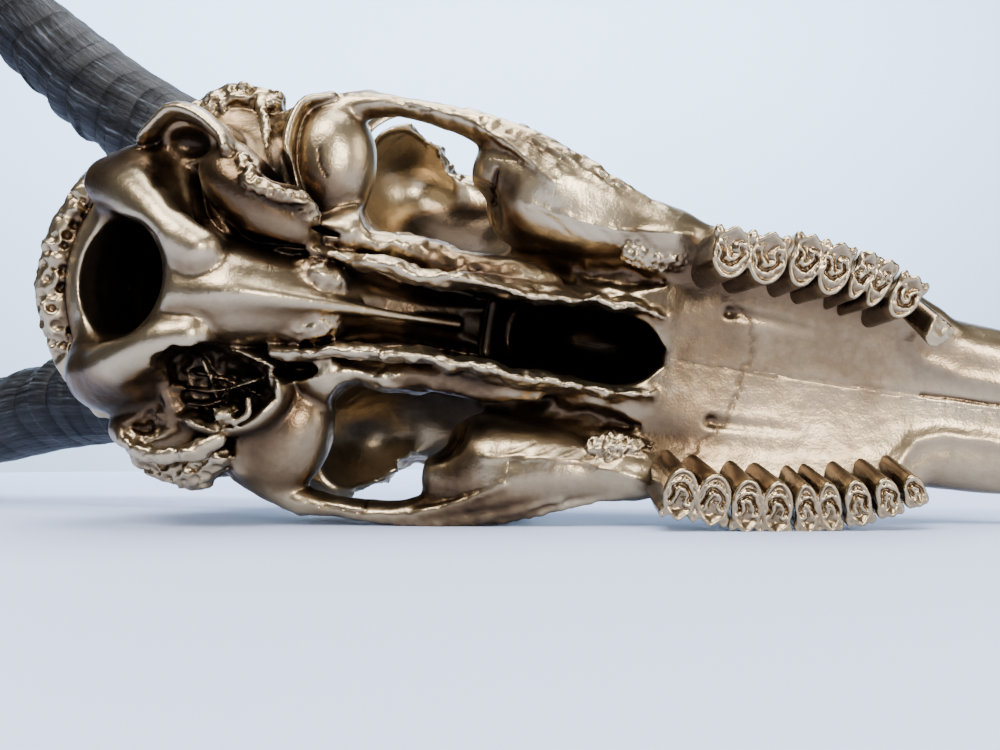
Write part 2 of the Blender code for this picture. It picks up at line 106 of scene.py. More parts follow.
camera_data = bpy.data.cameras.new("camera")
camera_data.lens = 41.4
camera_data.sensor_width = 36.0
camera_data.clip_start = 0.01
camera = put_in("camera", camera_data)
photo_turn = Matrix.Rotation(LOOKING_UP, 3, "X")
camera_turn = POSE.to_matrix() @ PHOTO_POSE.to_matrix().transposed() @ photo_turn
camera.matrix_world = Matrix.Translation(REST @ VIEW_FROM) @ camera_turn.to_4x4()
bpy.context.scene.camera = camera
print("camera at", [round(v, 3) for v in camera.matrix_world.translation])

# %% [markdown]
# ## Floor, wall and light
#
# Metal shows what surrounds it, so the surroundings are half of a gold finish. A pale floor and a
# pale wall give the broad, soft shine of the photo; large soft lamps give the white highlights;
# and the room behind the camera stays dim, so that the hollows turn brown instead of grey. The
# floor ends behind the skull like a table, and the wall stands well behind that edge with a lamp
# of its own, so that the skull can be looked at from behind as well.


# %% Stage
class Paint:
    """A material, with short words for the nodes that it needs."""

    def __init__(self, name):
        self.made = bpy.data.materials.new(name)
        self.made.use_nodes = True
        self.nodes, self.links = self.made.node_tree.nodes, self.made.node_tree.links
        self.shader = self.nodes["Principled BSDF"].inputs

    def carried(self, name, output):
        """A number or a direction that the mesh carries at its points."""
        made = self.nodes.new("ShaderNodeAttribute")
        made.attribute_name = name
        return made.outputs[output]

    def noise(self, place, scale, detail):
        """Noise on a coordinate, or on the box of the object where there is none."""
        made = self.nodes.new("ShaderNodeTexNoise")
        made.inputs["Scale"].default_value = scale
        made.inputs["Detail"].default_value = detail
        if place is not None:
            self.links.new(place, made.inputs["Vector"])
        return made.outputs["Fac"]

    def maths(self, operation, *values):
        """One sum on sockets and numbers."""
        made = self.nodes.new("ShaderNodeMath")
        made.operation = operation
        for socket, value in zip(made.inputs, values):
            if isinstance(value, (int, float)):
                socket.default_value = value
            else:
                self.links.new(value, socket)
        return made.outputs["Value"]

    def grade(self, target, value, stops):
        """Leads a value through a ramp of (position, colour) stops into the shader."""
        made = self.nodes.new("ShaderNodeValToRGB")
        bar = made.color_ramp
        while len(bar.elements) < len(stops):
            bar.elements.new(0.5)
        for element, (position, colour) in zip(bar.elements, stops):
            element.position = position
            element.color = (*colour, 1)
        self.links.new(value, made.inputs["Fac"])
        self.links.new(made.outputs["Color"], self.shader[target])

    def relief(self, height, strength, distance):
        """Leads a height into the shader as fine relief."""
        made = self.nodes.new("ShaderNodeBump")
        made.inputs["Strength"].default_value = strength
        made.inputs["Distance"].default_value = distance
        self.links.new(height, made.inputs["Height"])
        self.links.new(made.outputs["Normal"], self.shader["Normal"])


def plain_paint(name, colour, roughness):
    """A matt paint with a faint mottle, for the floor and the wall."""
    paint = Paint(name)
    paint.shader["Roughness"].default_value = roughness
    shades = [(0, [0.93 * c for c in colour]), (1, colour)]
    paint.grade("Base Color", paint.noise(None, 9.0, 2.0), shades)
    return paint.made


def sheet(name, near, far, paint):
    """One flat sheet of the stage, between two edges given as (y, z)."""
    mesh = bpy.data.meshes.new(name)
    corners = [(-STAGE_HALF, *near), (STAGE_HALF, *near), (STAGE_HALF, *far), (-STAGE_HALF, *far)]
    mesh.from_pydata(corners, [], [(0, 1, 2, 3)])
    mesh.materials.append(paint)
    put_in(name, mesh)


STAGE_HALF = 3.0
FLOOR_FRONT, FLOOR_BACK = -0.75, 0.62
WALL_BEHIND, WALL_LOW, WALL_TALL = 2.6, -1.2, 3.0
floor_paint = plain_paint("floor_paint", (0.61, 0.70, 0.98), 0.6)
wall_paint = plain_paint("wall_paint", (0.76, 0.86, 1.0), 0.8)
sheet("floor", (FLOOR_FRONT, 0), (FLOOR_BACK, 0), floor_paint)
sheet("wall", (WALL_BEHIND, WALL_LOW), (WALL_BEHIND, WALL_TALL), wall_paint)


def lamp(name, place, towards, size, power, colour):
    """A large soft lamp at a place, turned towards another."""
    data = bpy.data.lights.new(name, "AREA")
    data.shape = "RECTANGLE"
    data.size, data.size_y = size
    data.energy = power
    data.color = colour
    made = put_in(name, data)
    made.location = place
    made.rotation_euler = (Vector(towards) - Vector(place)).to_track_quat("-Z", "Y").to_euler()


lamp("window", (-0.5, -1.1, 1.3), (0, -0.15, 0.1), (0.8, 0.6), 34, (1.0, 0.98, 0.95))
lamp("front glow", (0.52, -1.5, 0.36), (0.05, -0.16, 0.07), (0.34, 0.2), 17, (1.0, 0.985, 0.96))
lamp("ceiling", (0.2, 0.08, 1.6), (0, 0.1, 0.05), (1.8, 0.9), 54, (0.93, 0.96, 1.0))
lamp("wall wash", (0.0, 1.2, 1.5), (0.0, 2.6, 0.3), (3.6, 0.4), 210, (0.64, 0.80, 1.0))
lamp("side", (1.3, -0.7, 0.5), (0, -0.15, 0.1), (0.5, 0.7), 7, (1.0, 0.95, 0.88))

world = bpy.data.worlds.new("room")
world.use_nodes = True
glow = world.node_tree.nodes["Background"].inputs
glow["Color"].default_value = (0.30, 0.285, 0.27, 1)
glow["Strength"].default_value = 0.42
bpy.context.scene.world = world
print("lamps:", [lit.name for lit in bpy.data.lights])

# %% [markdown]
# ## Working bone like clay
#
# Bone has no edges that a draughtsman could list: bars, bulbs and plates grow out of one another.
# Polygon modelling could follow that with patience, and metaballs with little control. Here the
# skull is kept as a block of numbers, where each grid point says how far it lies outside the
# bone. Laying a form on keeps the smaller distance, carving keeps the larger one, and a soft
# step between the two leaves a fillet like the real one.


# %% A block of clay
FAR = 40.0
REACH = 5.0


class Clay:
    """A box of grid points, each holding how far outside the bone it is, in millimetres."""

    def __init__(self, low, high, step):
        self.low = np.array(low, np.float32)
        self.step = step
        self.size = np.ceil((np.array(high) - self.low) / step).astype(int) + 1
        self.out = np.full(self.size, FAR, np.float32)

    def window(self, low, high, start=(0, 0, 0), size=None):
        """The part of the grid inside a box: its slices and its coordinates."""
        start = np.array(start)
        size = self.size if size is None else np.array(size)
        first = np.floor((np.array(low) - self.low) / self.step).astype(int) - start
        last = np.ceil((np.array(high) - self.low) / self.step).astype(int) + 1 - start
        first, last = np.clip(first, 0, size), np.clip(last, 0, size)
        part = tuple(slice(a, b) for a, b in zip(first, last))
        lines = [
            self.low[k] + self.step * np.arange(first[k], last[k]) + self.step * start[k]
            for k in range(3)
        ]
        lines = [line.astype(np.float32) for line in lines]
        return part, np.meshgrid(*lines, indexing="ij", sparse=True)

    def work(self, form, blend, carve, rough):
        """Lays a form on or carves it out, with a fillet of about the size of blend."""
        margin = REACH + blend
        part, (x, y, z) = self.window(form.low - margin, form.high + margin)
        here = self.out[part]
        if not here.size:
            return
        start = [s.start for s in part]
        apart = np.full(here.shape, FAR, np.float32)
        for low, high, distance in form.pieces:
            bit, at = self.window(low - margin, high + margin, start, here.shape)
            if apart[bit].size:
                apart[bit] = np.minimum(apart[bit], distance(*at))
        if rough:
            near = np.abs(apart) < REACH
            if near.any():
                full = np.broadcast_arrays(x, y, z)
                apart[near] += rough(*(axis[near] for axis in full))
        if carve:
            apart = -apart
        soft = np.maximum(blend - np.abs(here - apart), 0) / max(blend, 1e-3)
        fillet = soft * soft * blend / 4
        if carve:
            self.out[part] = np.maximum(here, apart) + fillet
        else:
            self.out[part] = np.minimum(here, apart) - fillet


# %% [markdown]
# ## Four kinds of form
#
# Nearly every bump of a skull is a ball, a rope, a strap or a hull: a swollen bulb, a round bar, a
# flattened bar, or a long body whose section changes along the head. Each is written as a formula
# for the distance to its surface, so it has no triangles until the very end.


# %% Ball, rope, strap and hull
class Form:
    """One shape as pieces of (low corner, high corner, distance formula)."""

    def __init__(self, pieces):
        self.pieces = pieces
        self.low = np.min([p[0] for p in pieces], axis=0)
        self.high = np.max([p[1] for p in pieces], axis=0)


def egg_distance(offsets, radii):
    """How far a point lies outside an ellipsoid, from its offsets along the three axes."""
    first = np.sqrt(sum((d / r) ** 2 for d, r in zip(offsets, radii)))
    second = np.sqrt(sum((d / (r * r)) ** 2 for d, r in zip(offsets, radii)))
    return first * (first - 1) / np.maximum(second, 1e-5)


def ball(centre, radii, turn=(0, 0, 0)):
    """An ellipsoid, turned by degrees about x, y and z."""
    centre = np.array(centre, float)
    axes = np.array(Euler([math.radians(a) for a in turn], "XYZ").to_matrix()).T
    reach = np.sqrt(((axes.T * np.array(radii)) ** 2).sum(axis=1))

    def distance(x, y, z):
        offset = (x - centre[0], y - centre[1], z - centre[2])
        return egg_distance([sum(a * d for a, d in zip(axis, offset)) for axis in axes], radii)

    return Form([(centre - reach, centre + reach, distance)])


def smooth_path(points, steps):
    """Points spread along the smooth curve through the given ones, a few for each stretch."""
    route = np.array(points, float)
    ends = np.vstack([2 * route[0] - route[1], route, 2 * route[-1] - route[-2]])
    made = []
    for k in range(len(route) - 1):
        a, b, c, d = ends[k : k + 4]
        for t in np.linspace(0, 1, steps, endpoint=False):
            bend = (2 * a - 5 * b + 4 * c - d) * t * t + (3 * b - a - 3 * c + d) * t**3
            made.append((2 * b + (c - a) * t + bend) / 2)
    return np.array(made + [route[-1]])


def spread(values, count):
    """The given values spread evenly over a count, in straight steps."""
    values = np.array(values, float)
    stops = np.linspace(0, 1, len(values))
    return np.interp(np.linspace(0, 1, count), stops, values)


def distances_along(route):
    """How far each point of a path lies along it."""
    return np.concatenate([[0], np.cumsum(np.linalg.norm(np.diff(route, axis=0), axis=1))])


def points_at(stops, length, route):
    """Points at some distances along a path."""
    return np.stack([np.interp(stops, length, route[:, k]) for k in range(3)], axis=1)


ROPE_STEPS = 5


def rope(points, radii):
    """A round bar of changing thickness along a smooth path."""
    path = smooth_path(points, ROPE_STEPS)
    thick = spread(radii, len(path))
    pieces = []
    for a, b, one, two in zip(path, path[1:], thick, thick[1:]):

        def distance(x, y, z, a=a, run=b - a, one=one, two=two):
            offset = (x - a[0], y - a[1], z - a[2])
            share = sum(d * r for d, r in zip(offset, run)) / max(float(run @ run), 1e-6)
            share = np.clip(share, 0, 1)
            gap = sum((d - share * r) ** 2 for d, r in zip(offset, run))
            return np.sqrt(gap) - (one + share * (two - one))

        wide = max(one, two)
        pieces.append((np.minimum(a, b) - wide, np.maximum(a, b) + wide, distance))
    return Form(pieces)


def strap(points, halves, up=(0, 0, 1), steps=4):
    """A flattened bar; halves are (half breadth, half height) at each point."""
    path = smooth_path(points, steps)
    broad = spread([h[0] for h in halves], len(path))
    tall = spread([h[1] for h in halves], len(path))
    pieces = []
    for k in range(len(path) - 1):
        a, run = path[k], path[k + 1] - path[k]
        length = float(np.linalg.norm(run))
        ahead = run / length
        side = np.cross(ahead, up)
        side /= np.linalg.norm(side)
        over = np.cross(side, ahead)
        sizes = (broad[k], broad[k + 1], tall[k], tall[k + 1])

        def distance(x, y, z, a=a, length=length, axes=(ahead, side, over), sizes=sizes):
            offset = (x - a[0], y - a[1], z - a[2])
            along, across, upward = (sum(d * r for d, r in zip(offset, axis)) for axis in axes)
            share = np.clip(along / length, 0, 1)
            half = sizes[0] + share * (sizes[1] - sizes[0])
            high = sizes[2] + share * (sizes[3] - sizes[2])
            beyond = along - share * length
            return egg_distance((across, upward, beyond), (half, high, np.minimum(half, high)))

        wide = max(sizes)
        pieces.append((np.minimum(a, a + run) - wide, np.maximum(a, a + run) + wide, distance))
    return Form(pieces)


TOP_POWER = 0.85


def hull(stations, middle=0.0, low_power=0.8):
    """A long body over stations of (x, low, high, half width, top width as a share)."""
    rows = smooth_path(np.array(stations, float), 6)
    x_line, low_line, high_line, half_line, share_line = rows.T
    box_low = np.array([x_line.min(), middle - half_line.max(), low_line.min()])
    box_high = np.array([x_line.max(), middle + half_line.max(), high_line.max()])

    def distance(x, y, z):
        low = np.interp(x, x_line, low_line).astype(np.float32)
        high = np.interp(x, x_line, high_line).astype(np.float32)
        half = np.interp(x, x_line, half_line).astype(np.float32)
        top = np.interp(x, x_line, share_line).astype(np.float32)
        up = (z - (low + high) / 2) / ((high - low) / 2)
        width = half * (1 - (1 - top) * np.clip(up, 0, 1))
        power = np.where(up < 0, 2 / low_power, 2 / TOP_POWER)
        across = np.abs((y - middle) / width)
        size = (across**power + np.abs(up) ** power) ** (1 / power)
        side_way = (size - 1) * np.minimum(half, (high - low) / 2)
        return np.maximum(side_way, np.maximum(x_line[0] - x, x - x_line[-1]))

    return Form([(box_low, box_high, distance)])


# %% [markdown]
# ## Grain and pores
#
# Old bone is smooth where it was a joint, and spongy where it broke. Both come from noise: a
# smooth one for swellings and ragged edges, and one made of scattered cells for pores. The numbers
# are worked out from whole coordinates, so they are the same each time.


# %% Noise in space
def scatter(i, j, k, seed):
    """A fixed random number from 0 to 1 for each whole coordinate."""
    mix = (i * 73856093) ^ (j * 19349663) ^ (k * 83492791) ^ (seed * 2654435761 % 4294967296)
    mix = mix & 0xFFFFFFFF
    mix = ((mix ^ (mix >> 13)) * 1274126177) & 0xFFFFFFFF
    mix = ((mix ^ (mix >> 16)) * 2246822519) & 0xFFFFFFFF
    return ((mix ^ (mix >> 15)) & 0xFFFF) / 65535.0


def swell(x, y, z, size, seed):
    """Smooth noise from -1 to 1, with lumps of the given size."""
    place = [np.asarray(axis, float) / size for axis in (x, y, z)]
    whole = [np.floor(p).astype(np.int64) for p in place]
    part = [p - w for p, w in zip(place, whole)]
    ease = [t * t * (3 - 2 * t) for t in part]
    total = 0
    for a in (0, 1):
        for b in (0, 1):
            for c in (0, 1):
                weight = (ease[0] if a else 1 - ease[0]) * (ease[1] if b else 1 - ease[1])
                weight = weight * (ease[2] if c else 1 - ease[2])
                total = total + weight * scatter(whole[0] + a, whole[1] + b, whole[2] + c, seed)
    return 2 * total - 1


def layered(x, y, z, size, seed, layers=3):
    """Noise with finer noise on top, each layer half the size and half the height."""
    return sum(swell(x, y, z, size / 2**n, seed + n) / 2**n for n in range(layers))


def cells(x, y, z, size, seed):
    """Distance to the nearest of many scattered points, in cell sizes."""
    place = [np.asarray(axis, float) / size for axis in (x, y, z)]
    whole = [np.floor(p).astype(np.int64) for p in place]
    nearest = np.full(np.broadcast(*place).shape, 9.0)
    for a in (-1, 0, 1):
        for b in (-1, 0, 1):
            for c in (-1, 0, 1):
                corner = [w + s for w, s in zip(whole, (a, b, c))]
                gap = sum((corner[n] + scatter(*corner,
                    seed + n) - place[n]) ** 2 for n in range(3))
                nearest = np.minimum(nearest, gap)
    return np.sqrt(nearest)


def ragged(height, size, seed):
    """Roughness for an edge or a lump."""
    return lambda x, y, z: height * layered(x, y, z, size, seed)


def spongy(height, size, seed):
    """Roughness with round pores."""

    def pitted(x, y, z):
        pits = np.clip(0.62 - cells(x, y, z, size, seed), 0, 1) * 2.2
        return height * (0.5 * layered(x, y, z, size * 1.7, seed + 7, 2) + pits)

    return pitted


# %% [markdown]
# ## From clay to a skin
#
# To see the clay we need its surface. Each grid cube that the surface passes through gets one
# point, at the mean of the places where its edges are crossed, and four neighbours share a face.
# This is called surface nets. It gives even faces, much like a voxel remesh, with no need to
# build a first mesh.


# %% Wrap
CORNERS = [(a, b, c) for a in (0, 1) for b in (0, 1) for c in (0, 1)]


def wrap(out, low, step):
    """Points and four-sided faces of the surface where a grid of distances is zero."""
    inside = out < 0
    inside[[0, -1]] = False
    inside[:, [0, -1]] = False
    inside[:, :, [0, -1]] = False
    nx, ny, nz = (n - 1 for n in out.shape)
    total = np.zeros((nx, ny, nz), np.uint8)
    for a, b, c in CORNERS:
        total += inside[a : a + nx, b : b + ny, c : c + nz]
    cubes = np.argwhere((total > 0) & (total < 8))
    number = np.full((nx, ny, nz), -1, np.int32)
    number[tuple(cubes.T)] = np.arange(len(cubes))
    place = np.zeros((len(cubes), 3), np.float32)
    hits = np.zeros(len(cubes), np.float32)
    for one in CORNERS:
        for axis in range(3):
            if one[axis]:
                continue
            two = tuple(1 if n == axis else v for n, v in enumerate(one))
            at, to = tuple((cubes + one).T), tuple((cubes + two).T)
            crossed = inside[at] != inside[to]
            run = out[at] - out[to]
            share = np.clip(out[at] / np.where(np.abs(run) > 1e-6, run, 1), 0.02, 0.98)
            point = np.array(one, np.float32) + np.zeros((len(cubes), 3), np.float32)
            point[:, axis] = share
            place += point * crossed[:, None]
            hits += crossed
    verts = low + step * (cubes + place / hits[:, None])
    faces = []
    for axis in range(3):
        u, v = (axis + 1) % 3, (axis + 2) % 3
        start = [slice(k != axis, n - 1) for k, n in enumerate(out.shape)]
        ahead = list(start)
        ahead[axis] = slice(1, out.shape[axis])
        here, there = inside[tuple(start)], inside[tuple(ahead)]
        edges = np.argwhere(here != there)
        outward = here[tuple(edges.T)]
        edges[:, u] += 1
        edges[:, v] += 1
        ring = []
        for du, dv in ((0, 0), (-1, 0), (-1, -1), (0, -1)):
            cube = edges.copy()
            cube[:, u] += du
            cube[:, v] += dv
            ring.append(number[tuple(cube.T)])
        quad = np.stack(ring, axis=1)
        quad[~outward] = quad[~outward][:, ::-1]
        faces.append(quad)
    return verts, np.concatenate(faces)


def main_body(verts, faces):
    """Keeps the largest connected piece of a mesh."""
    label = np.arange(len(verts))
    one, two = faces[:, [0, 1, 2, 3]].ravel(), faces[:, [1, 2, 3, 0]].ravel()
    while True:
        lower = np.minimum(label[one], label[two])
        fresh = label.copy()
        np.minimum.at(fresh, one, lower)
        np.minimum.at(fresh, two, lower)
        fresh = fresh[fresh]
        if (fresh == label).all():
            break
        label = fresh
    names, counts = np.unique(label[faces[:, 0]], return_counts=True)
    keep = label == names[np.argmax(counts)]
    renumber = np.cumsum(keep) - 1
    return verts[keep], renumber[faces[keep[faces[:, 0]]]]


def outward_normals(verts, faces):
    """The smooth normal at each point of a mesh."""
    corner = verts[faces]
    flat = np.cross(corner[:, 2] - corner[:, 0], corner[:, 3] - corner[:, 1])
    normals = np.zeros_like(verts)
    for k in range(4):
        np.add.at(normals, faces[:, k], flat)
    return normals / np.maximum(np.linalg.norm(normals, axis=1, keepdims=True), 1e-9)


def crowding(clay, radius):
    """How much of the space within a distance of each grid point is bone, from 0 to 1."""
    full = (clay.out < 0).astype(np.float32)
    n = max(1, round(radius / clay.step))
    for axis in range(3):
        padded = np.pad(full, [(n + 1, n) if k == axis else (0, 0) for k in range(3)], mode="edge")
        total = np.cumsum(padded, axis=axis, dtype=np.float32)
        size = full.shape[axis]
        ahead = np.take(total, np.arange(2 * n + 1, 2 * n + 1 + size), axis=axis)
        full = (ahead - np.take(total, np.arange(size), axis=axis)) / (2 * n + 1)
    return full


def read_off(field, clay, verts):
    """The value of a grid at each point, mixed from the eight grid points around it."""
    place = np.clip((verts - clay.low) / clay.step, 0, np.array(field.shape) - 1.001)
    whole = place.astype(int)
    part = place - whole
    total = np.zeros(len(verts))
    for corner in CORNERS:
        weight = np.prod(np.where(corner, part, 1 - part), axis=1)
        total += weight * field[tuple((whole + corner).T)]
    return total


print("clay tools are ready")

# %% [markdown]
# ## Braincase, brow, face and muzzle
#
# The big masses come first, as a sculptor would block them in: the braincase and the forehead as
# two balls, then one long hull from the forehead to the muzzle, with the nasal bones laid on top.
# The list of work is kept in order, because carving only touches what was laid before it.

# %% Block in the head
WORK = []


def lay(form, blend=3.0, rough=None):
    """Notes a form to be laid on."""
    WORK.append((form, blend, False, rough))


def carve(form, blend, rough=None):
    """Notes a form to be carved out."""
    WORK.append((form, blend, True, rough))


def on(side, *points):
    """Points given for the left, set on a side."""
    return [(x, side * y, z) for x, y, z in points]


BROW_TOP = 106.0
MUZZLE_TIP = 304.0
lay(ball((20, 0, 42), (46, 38, 42)))
lay(ball((50, 0, 74), (46, 42, 32)), 10)
lay(hull(((48, 50, 100, 36, 0.8), (80, 44, 107, 42, 0.84), (105, 30, BROW_TOP, 41, 0.74),
    (125, 14, 99, 39, 0.62), (150, 3, 87, 36.5, 0.5), (175, 0.5, 75, 35, 0.46),
    (200, 0, 64, 32.5, 0.46), (216, 0, 56, 28, 0.5), (232, -1, 46, 25, 0.6),
    (252, -2, 30, 23, 0.66), (264, -2.5, 22, 21, 0.7), (282, -3, 14, 18.5, 0.75),
    (296, -4, 8, 18, 0.8), (MUZZLE_TIP, -4.5, 2, 13, 0.9)), low_power=0.45), 6)
lay(strap(((108, 0, 99), (150, 0, 83), (200, 0, 60), (240, 0, 45), (262, 0, 40.5)),
    ((17, 5), (16, 5), (15.5, 4.6), (13.5, 4.2), (7, 2.6))), 4)
for side in SIDES:
    lay(rope(on(side, (66, 20, 86), (52, 25, 97), (34, 30, 113)), (22, 23, 21)), 8)
    lay(ball((66, side * 43, 78), (20, 21, 15)), 8)
    lay(ball((90, side * 38, 86), (22, 14, 12)), 8)
    lay(rope(on(side, (54, 50, 70), (58, 56, 66), (62, 58, 66), (68, 54, 74), (78, 48, 80)),
        (8, 8, 8, 9, 9)), 6)
print("blocked in with", len(WORK), "forms")

# %% [markdown]
# ## The back of the head
#
# Behind, the skull ends in a leaning wall with a spongy crest for the neck muscles, and a smooth
# dome on each side. The two condyles, the rollers that the first neck bone turns on, stand beside
# the hole for the spinal cord. They're straps that start wide beside the hole and run down and
# inwards to round tips.

# %% Back wall, domes and keel
lay(ball((-6, 0, 28), (15, 33, 22), (0, -30, 0)), 6)
lay(ball((-4, 0, 52), (22, 30, 22)), 8)
lay(rope(((4, -43, 38), (-12, -36, 36), (-24, -20, 32), (-28.5, 0, 31), (-24, 21, 32),
    (-11, 37, 36), (6, 45, 38)), (5, 5.6, 6.0, 6.2, 6.0, 5.6, 5)), 2, spongy(1.9, 3.6, 3))
lay(hull(((12, -11, 20, 13, 1.0), (24, -13.5, 20, 15, 1.0), (36, -14, 24, 15, 1.0),
    (48, -10, 26, 13.5, 1.0), (60, -4, 28, 12, 1.0), (80, 6.5, 36, 9, 1.0),
    (104, 13.5, 44, 9, 1.0)), low_power=0.95), 5)
lay(ball((-3, -26, 17), (12, 11, 13)), 6)
lay(ball((-2, 27, 17), (13, 12, 13)), 6)
lay(ball((5, -30, 13), (11, 9.5, 10)), 5)
lay(ball((9, 29, 13), (12, 10, 10)), 5)
for side in SIDES:
    lay(rope(on(side, (-5, 29, 18), (0, 29, 11.5), (7, 26, 7), (14, 21, 3)), (8.5, 9.5, 8.5, 7)), 4)
    lay(ball((22, side * 48, 32), (15, 11, 12)), 6)
    lay(ball((32, side * 30, 22), (26, 16, 14)), 6)
    lay(ball((62, side * 21, 20), (13, 9, 18), (0, 0, side * 16)), 5)
    lay(ball((72, side * 16, 30), (20, 12, 17)), 6)
print("back of the head done,", len(WORK), "forms")

# %% [markdown]
# ## Hollows
#
# Now the big holes are carved: the brain's room, seen through the hole for the spinal cord; the
# two eye sockets with the open space behind them; the nose; and the throat passage with its deep
# pockets on both sides. A small blend keeps a rim crisp, and a large one rounds it. The last strap
# is the crack across the right eye ring.

# %% Carve the hollows
carve(ball((22, 0, 36), (24, 22, 19)), 3)
carve(hull(((70, -20, 3, 3, 1.0), (82, -20, 8, 7.0, 1.0), (98, -20, 15, 8.2, 1.0),
    (112, -20, 26, 9.0, 1.0), (124, -20, 46, 10.4, 1.0), (140, -20, 52, 11.2, 1.0),
    (150, -20, 48, 8.5, 1.0), (156, -20, 40, 2.5, 1.0))), 1.2)
carve(hull(((206, 16, 46, 6, 0.9), (226, 8, 41, 16, 0.8), (250, 5, 42, 15.5, 0.8),
    (300, 2.5, 40, 12, 0.8))), 1.5)
for side in SIDES:
    carve(ball((73, side * 43.5, 47), (20.5, 19, 33)), 4)
    carve(ball((91, side * 36, 45), (23, 17, 29.5)), 12)
    carve(ball((98, side * 50, 44), (21, 18, 26)), 9)
    carve(ball((93, side * 65, 60), (14, 19.5, 38), (0, -14, 0)), 0.6, ragged(1.5, 3.4, 22))
    carve(ball((82, side * 70, 62), (15.5, 13, 38), (0, -14, 0)), 0.6, ragged(1.3, 3.4, 22))
    carve(strap(on(side, (81.5, 34, -18), (81.5, 34, 10), (80, 36, 36)),
        ((18, 19),) * 3, up=(0, 1, 0)), 0.8)
    carve(ball((36, side * 60, 64), (15, 15, 34)), 3)
    carve(ball((46, side * 57, 42), (9, 8, 16)), 3)
    carve(hull(((92, -20, 20, 5, 1), (104, -20, 18, 7.6, 1), (120, -20, 15, 8.0, 1),
        (134, -20, 12, 7.0, 1), (146, -20, 8, 5.0, 1), (153, -20, 5, 2.0, 1)), middle=side * 21),
        0.8, ragged(0.4, 6, 49))
    carve(strap(on(side, (256, 6.5, 0), (272, 7, 0), (286, 6, 0)),
        ((1.6, 20), (3.2, 20), (1.6, 20))), 1)
CRACK_WAY = (-0.16, -0.151, 1)
crack = on(RIGHT, (55.2, 53.1, 62), (56.4, 57.9, 62), (61.1, 61.9, 62), (68.4, 64.5, 62))
carve(strap(crack, ((0.9, 20), (1.1, 20), (1.2, 20), (1.4, 20)), up=CRACK_WAY), 0.6)
print("hollows noted,", len(WORK), "forms")

# %% [markdown]
# ## Cheek arches and eye rings
#
# A thin bar runs from the jaw joint past the eye to the cheek. Behind the eye it meets a post that
# goes up to the brow. The rim over the eye is broken away on both sides and leaves a ragged edge.
# The cheek end is heavy and rough, since the chewing muscle hangs from it: a wedge with a smooth
# facet towards the tongue and ridges along the pull of the muscle.

# %% Arches, rings and cheeks
ARCH_HALF = 59.0
for side in SIDES:
    lay(rope(on(side, (60, 60, 20), (54, 61, 38), (50, 60, 54), (50, 53, 70), (54, 45, 82)),
        (3.6, 3.2, 3.4, 4.2, 6)), 2.5, ragged(0.4, 4, 23))
    lay(rope(on(side, (106, 41, 84), (116, 45, 70), (122, 48, 52), (118, 48, 36), (110, 48, 22)),
        (4.2, 4.4, 4.2, 4.4, 5)), 3, ragged(0.4, 4, 24))
    lay(strap(on(side, (42, 50, 19), (56, 57.4, 16), (70, ARCH_HALF, 15), (86, ARCH_HALF - 1.2, 14),
        (100, 54, 13), (112, 49, 13)),
        ((7, 6), (4.4, 5.6), (2.9, 5.8), (3.2, 6.6), (4.6, 8.0), (8, 9.0))), 3, ragged(0.35, 6, 24))
    lay(ball((36, side * 42, 29), (18, 14, 14)), 4)
    lay(ball((53, side * 40, 15.5), (13, 18, 11), (0, 0, side * 8)), 3)
    cheek = on(side, (103, 46, 14), (116, 42.6, 11), (132, 37.6, 8), (152, 34.5, 6))
    lay(strap(cheek, ((12, 9), (12, 11), (9.6, 10), (6.5, 8))), 3)
    lay(ball((112, side * 36, 24), (13, 11, 22)), 4)
    lay(ball((130, side * 33, 18), (24, 9, 17)), 4)
lay(strap(on(RIGHT, (46, 30, 4), (42.5, 38, 6), (41.5, 48, 9), (43.5, 56, 12), (50, 59, 14)),
    ((1.9, 5),) * 5), 1.5)
lay(rope(on(LEFT, (47, 34, 7), (43, 42, 8.5), (42, 50, 11)), (2.6, 3, 2.6)), 5)
for side in SIDES:
    carve(ball((92, side * 27, 4), (13, 15, 26), (0, 0, side * -34)), 0.8, ragged(0.5, 4, 26))
    carve(ball((122, side * 63, 6), (26, 9, 8), (0, 0, side * -20)), 4)
    for start, finish, wide in (
        ((90, 60.4, 10), (128, 48.5, 3.2), 1.4),
        ((96, 58.8, 7.4), (134, 44.0, 0.8), 1.0),
        ((88, 58.2, 8), (122, 44.6, 0.8), 0.9),
        ((106, 58.0, 9), (142, 42.4, 2.4), 1.0),
        ((95, 55.0, 5.6), (118, 42.6, 0.2), 0.8),
        ((84, 60.0, 10.5), (108, 53.5, 4.4), 0.9),
        ((112, 54.6, 6.4), (150, 39.4, 1.0), 0.8),
    ):
        bend = (np.array(start) + finish) / 2 + (0, 1.0, -0.6)
        lay(rope(on(side, start, tuple(bend), finish), (wide * 0.6, wide, wide * 0.5)),
            2.0, ragged(0.42, 2.6, 27))
print("arches done,", len(WORK), "forms")

# %% [markdown]
# ## Floor of the braincase
#
# Between the condyles and the throat lies the busiest part of a skull: the ear bulbs, the hooked
# processes beside them, and the long thin ridges that hung the soft palate. The right ear bulb is
# whole, with a spongy crest where it broke. The left one has broken open and shows its inside.


# %% Condyles, tubercles and ridges
def wavy(points, sway, seed):
    """A path that sways a little, as no bone ridge runs straight."""
    chance = np.random.default_rng(seed)
    route = smooth_path(points, 3)
    route[1:-1] += chance.uniform(-sway, sway, (len(route) - 2, 3))
    return [tuple(p) for p in route]


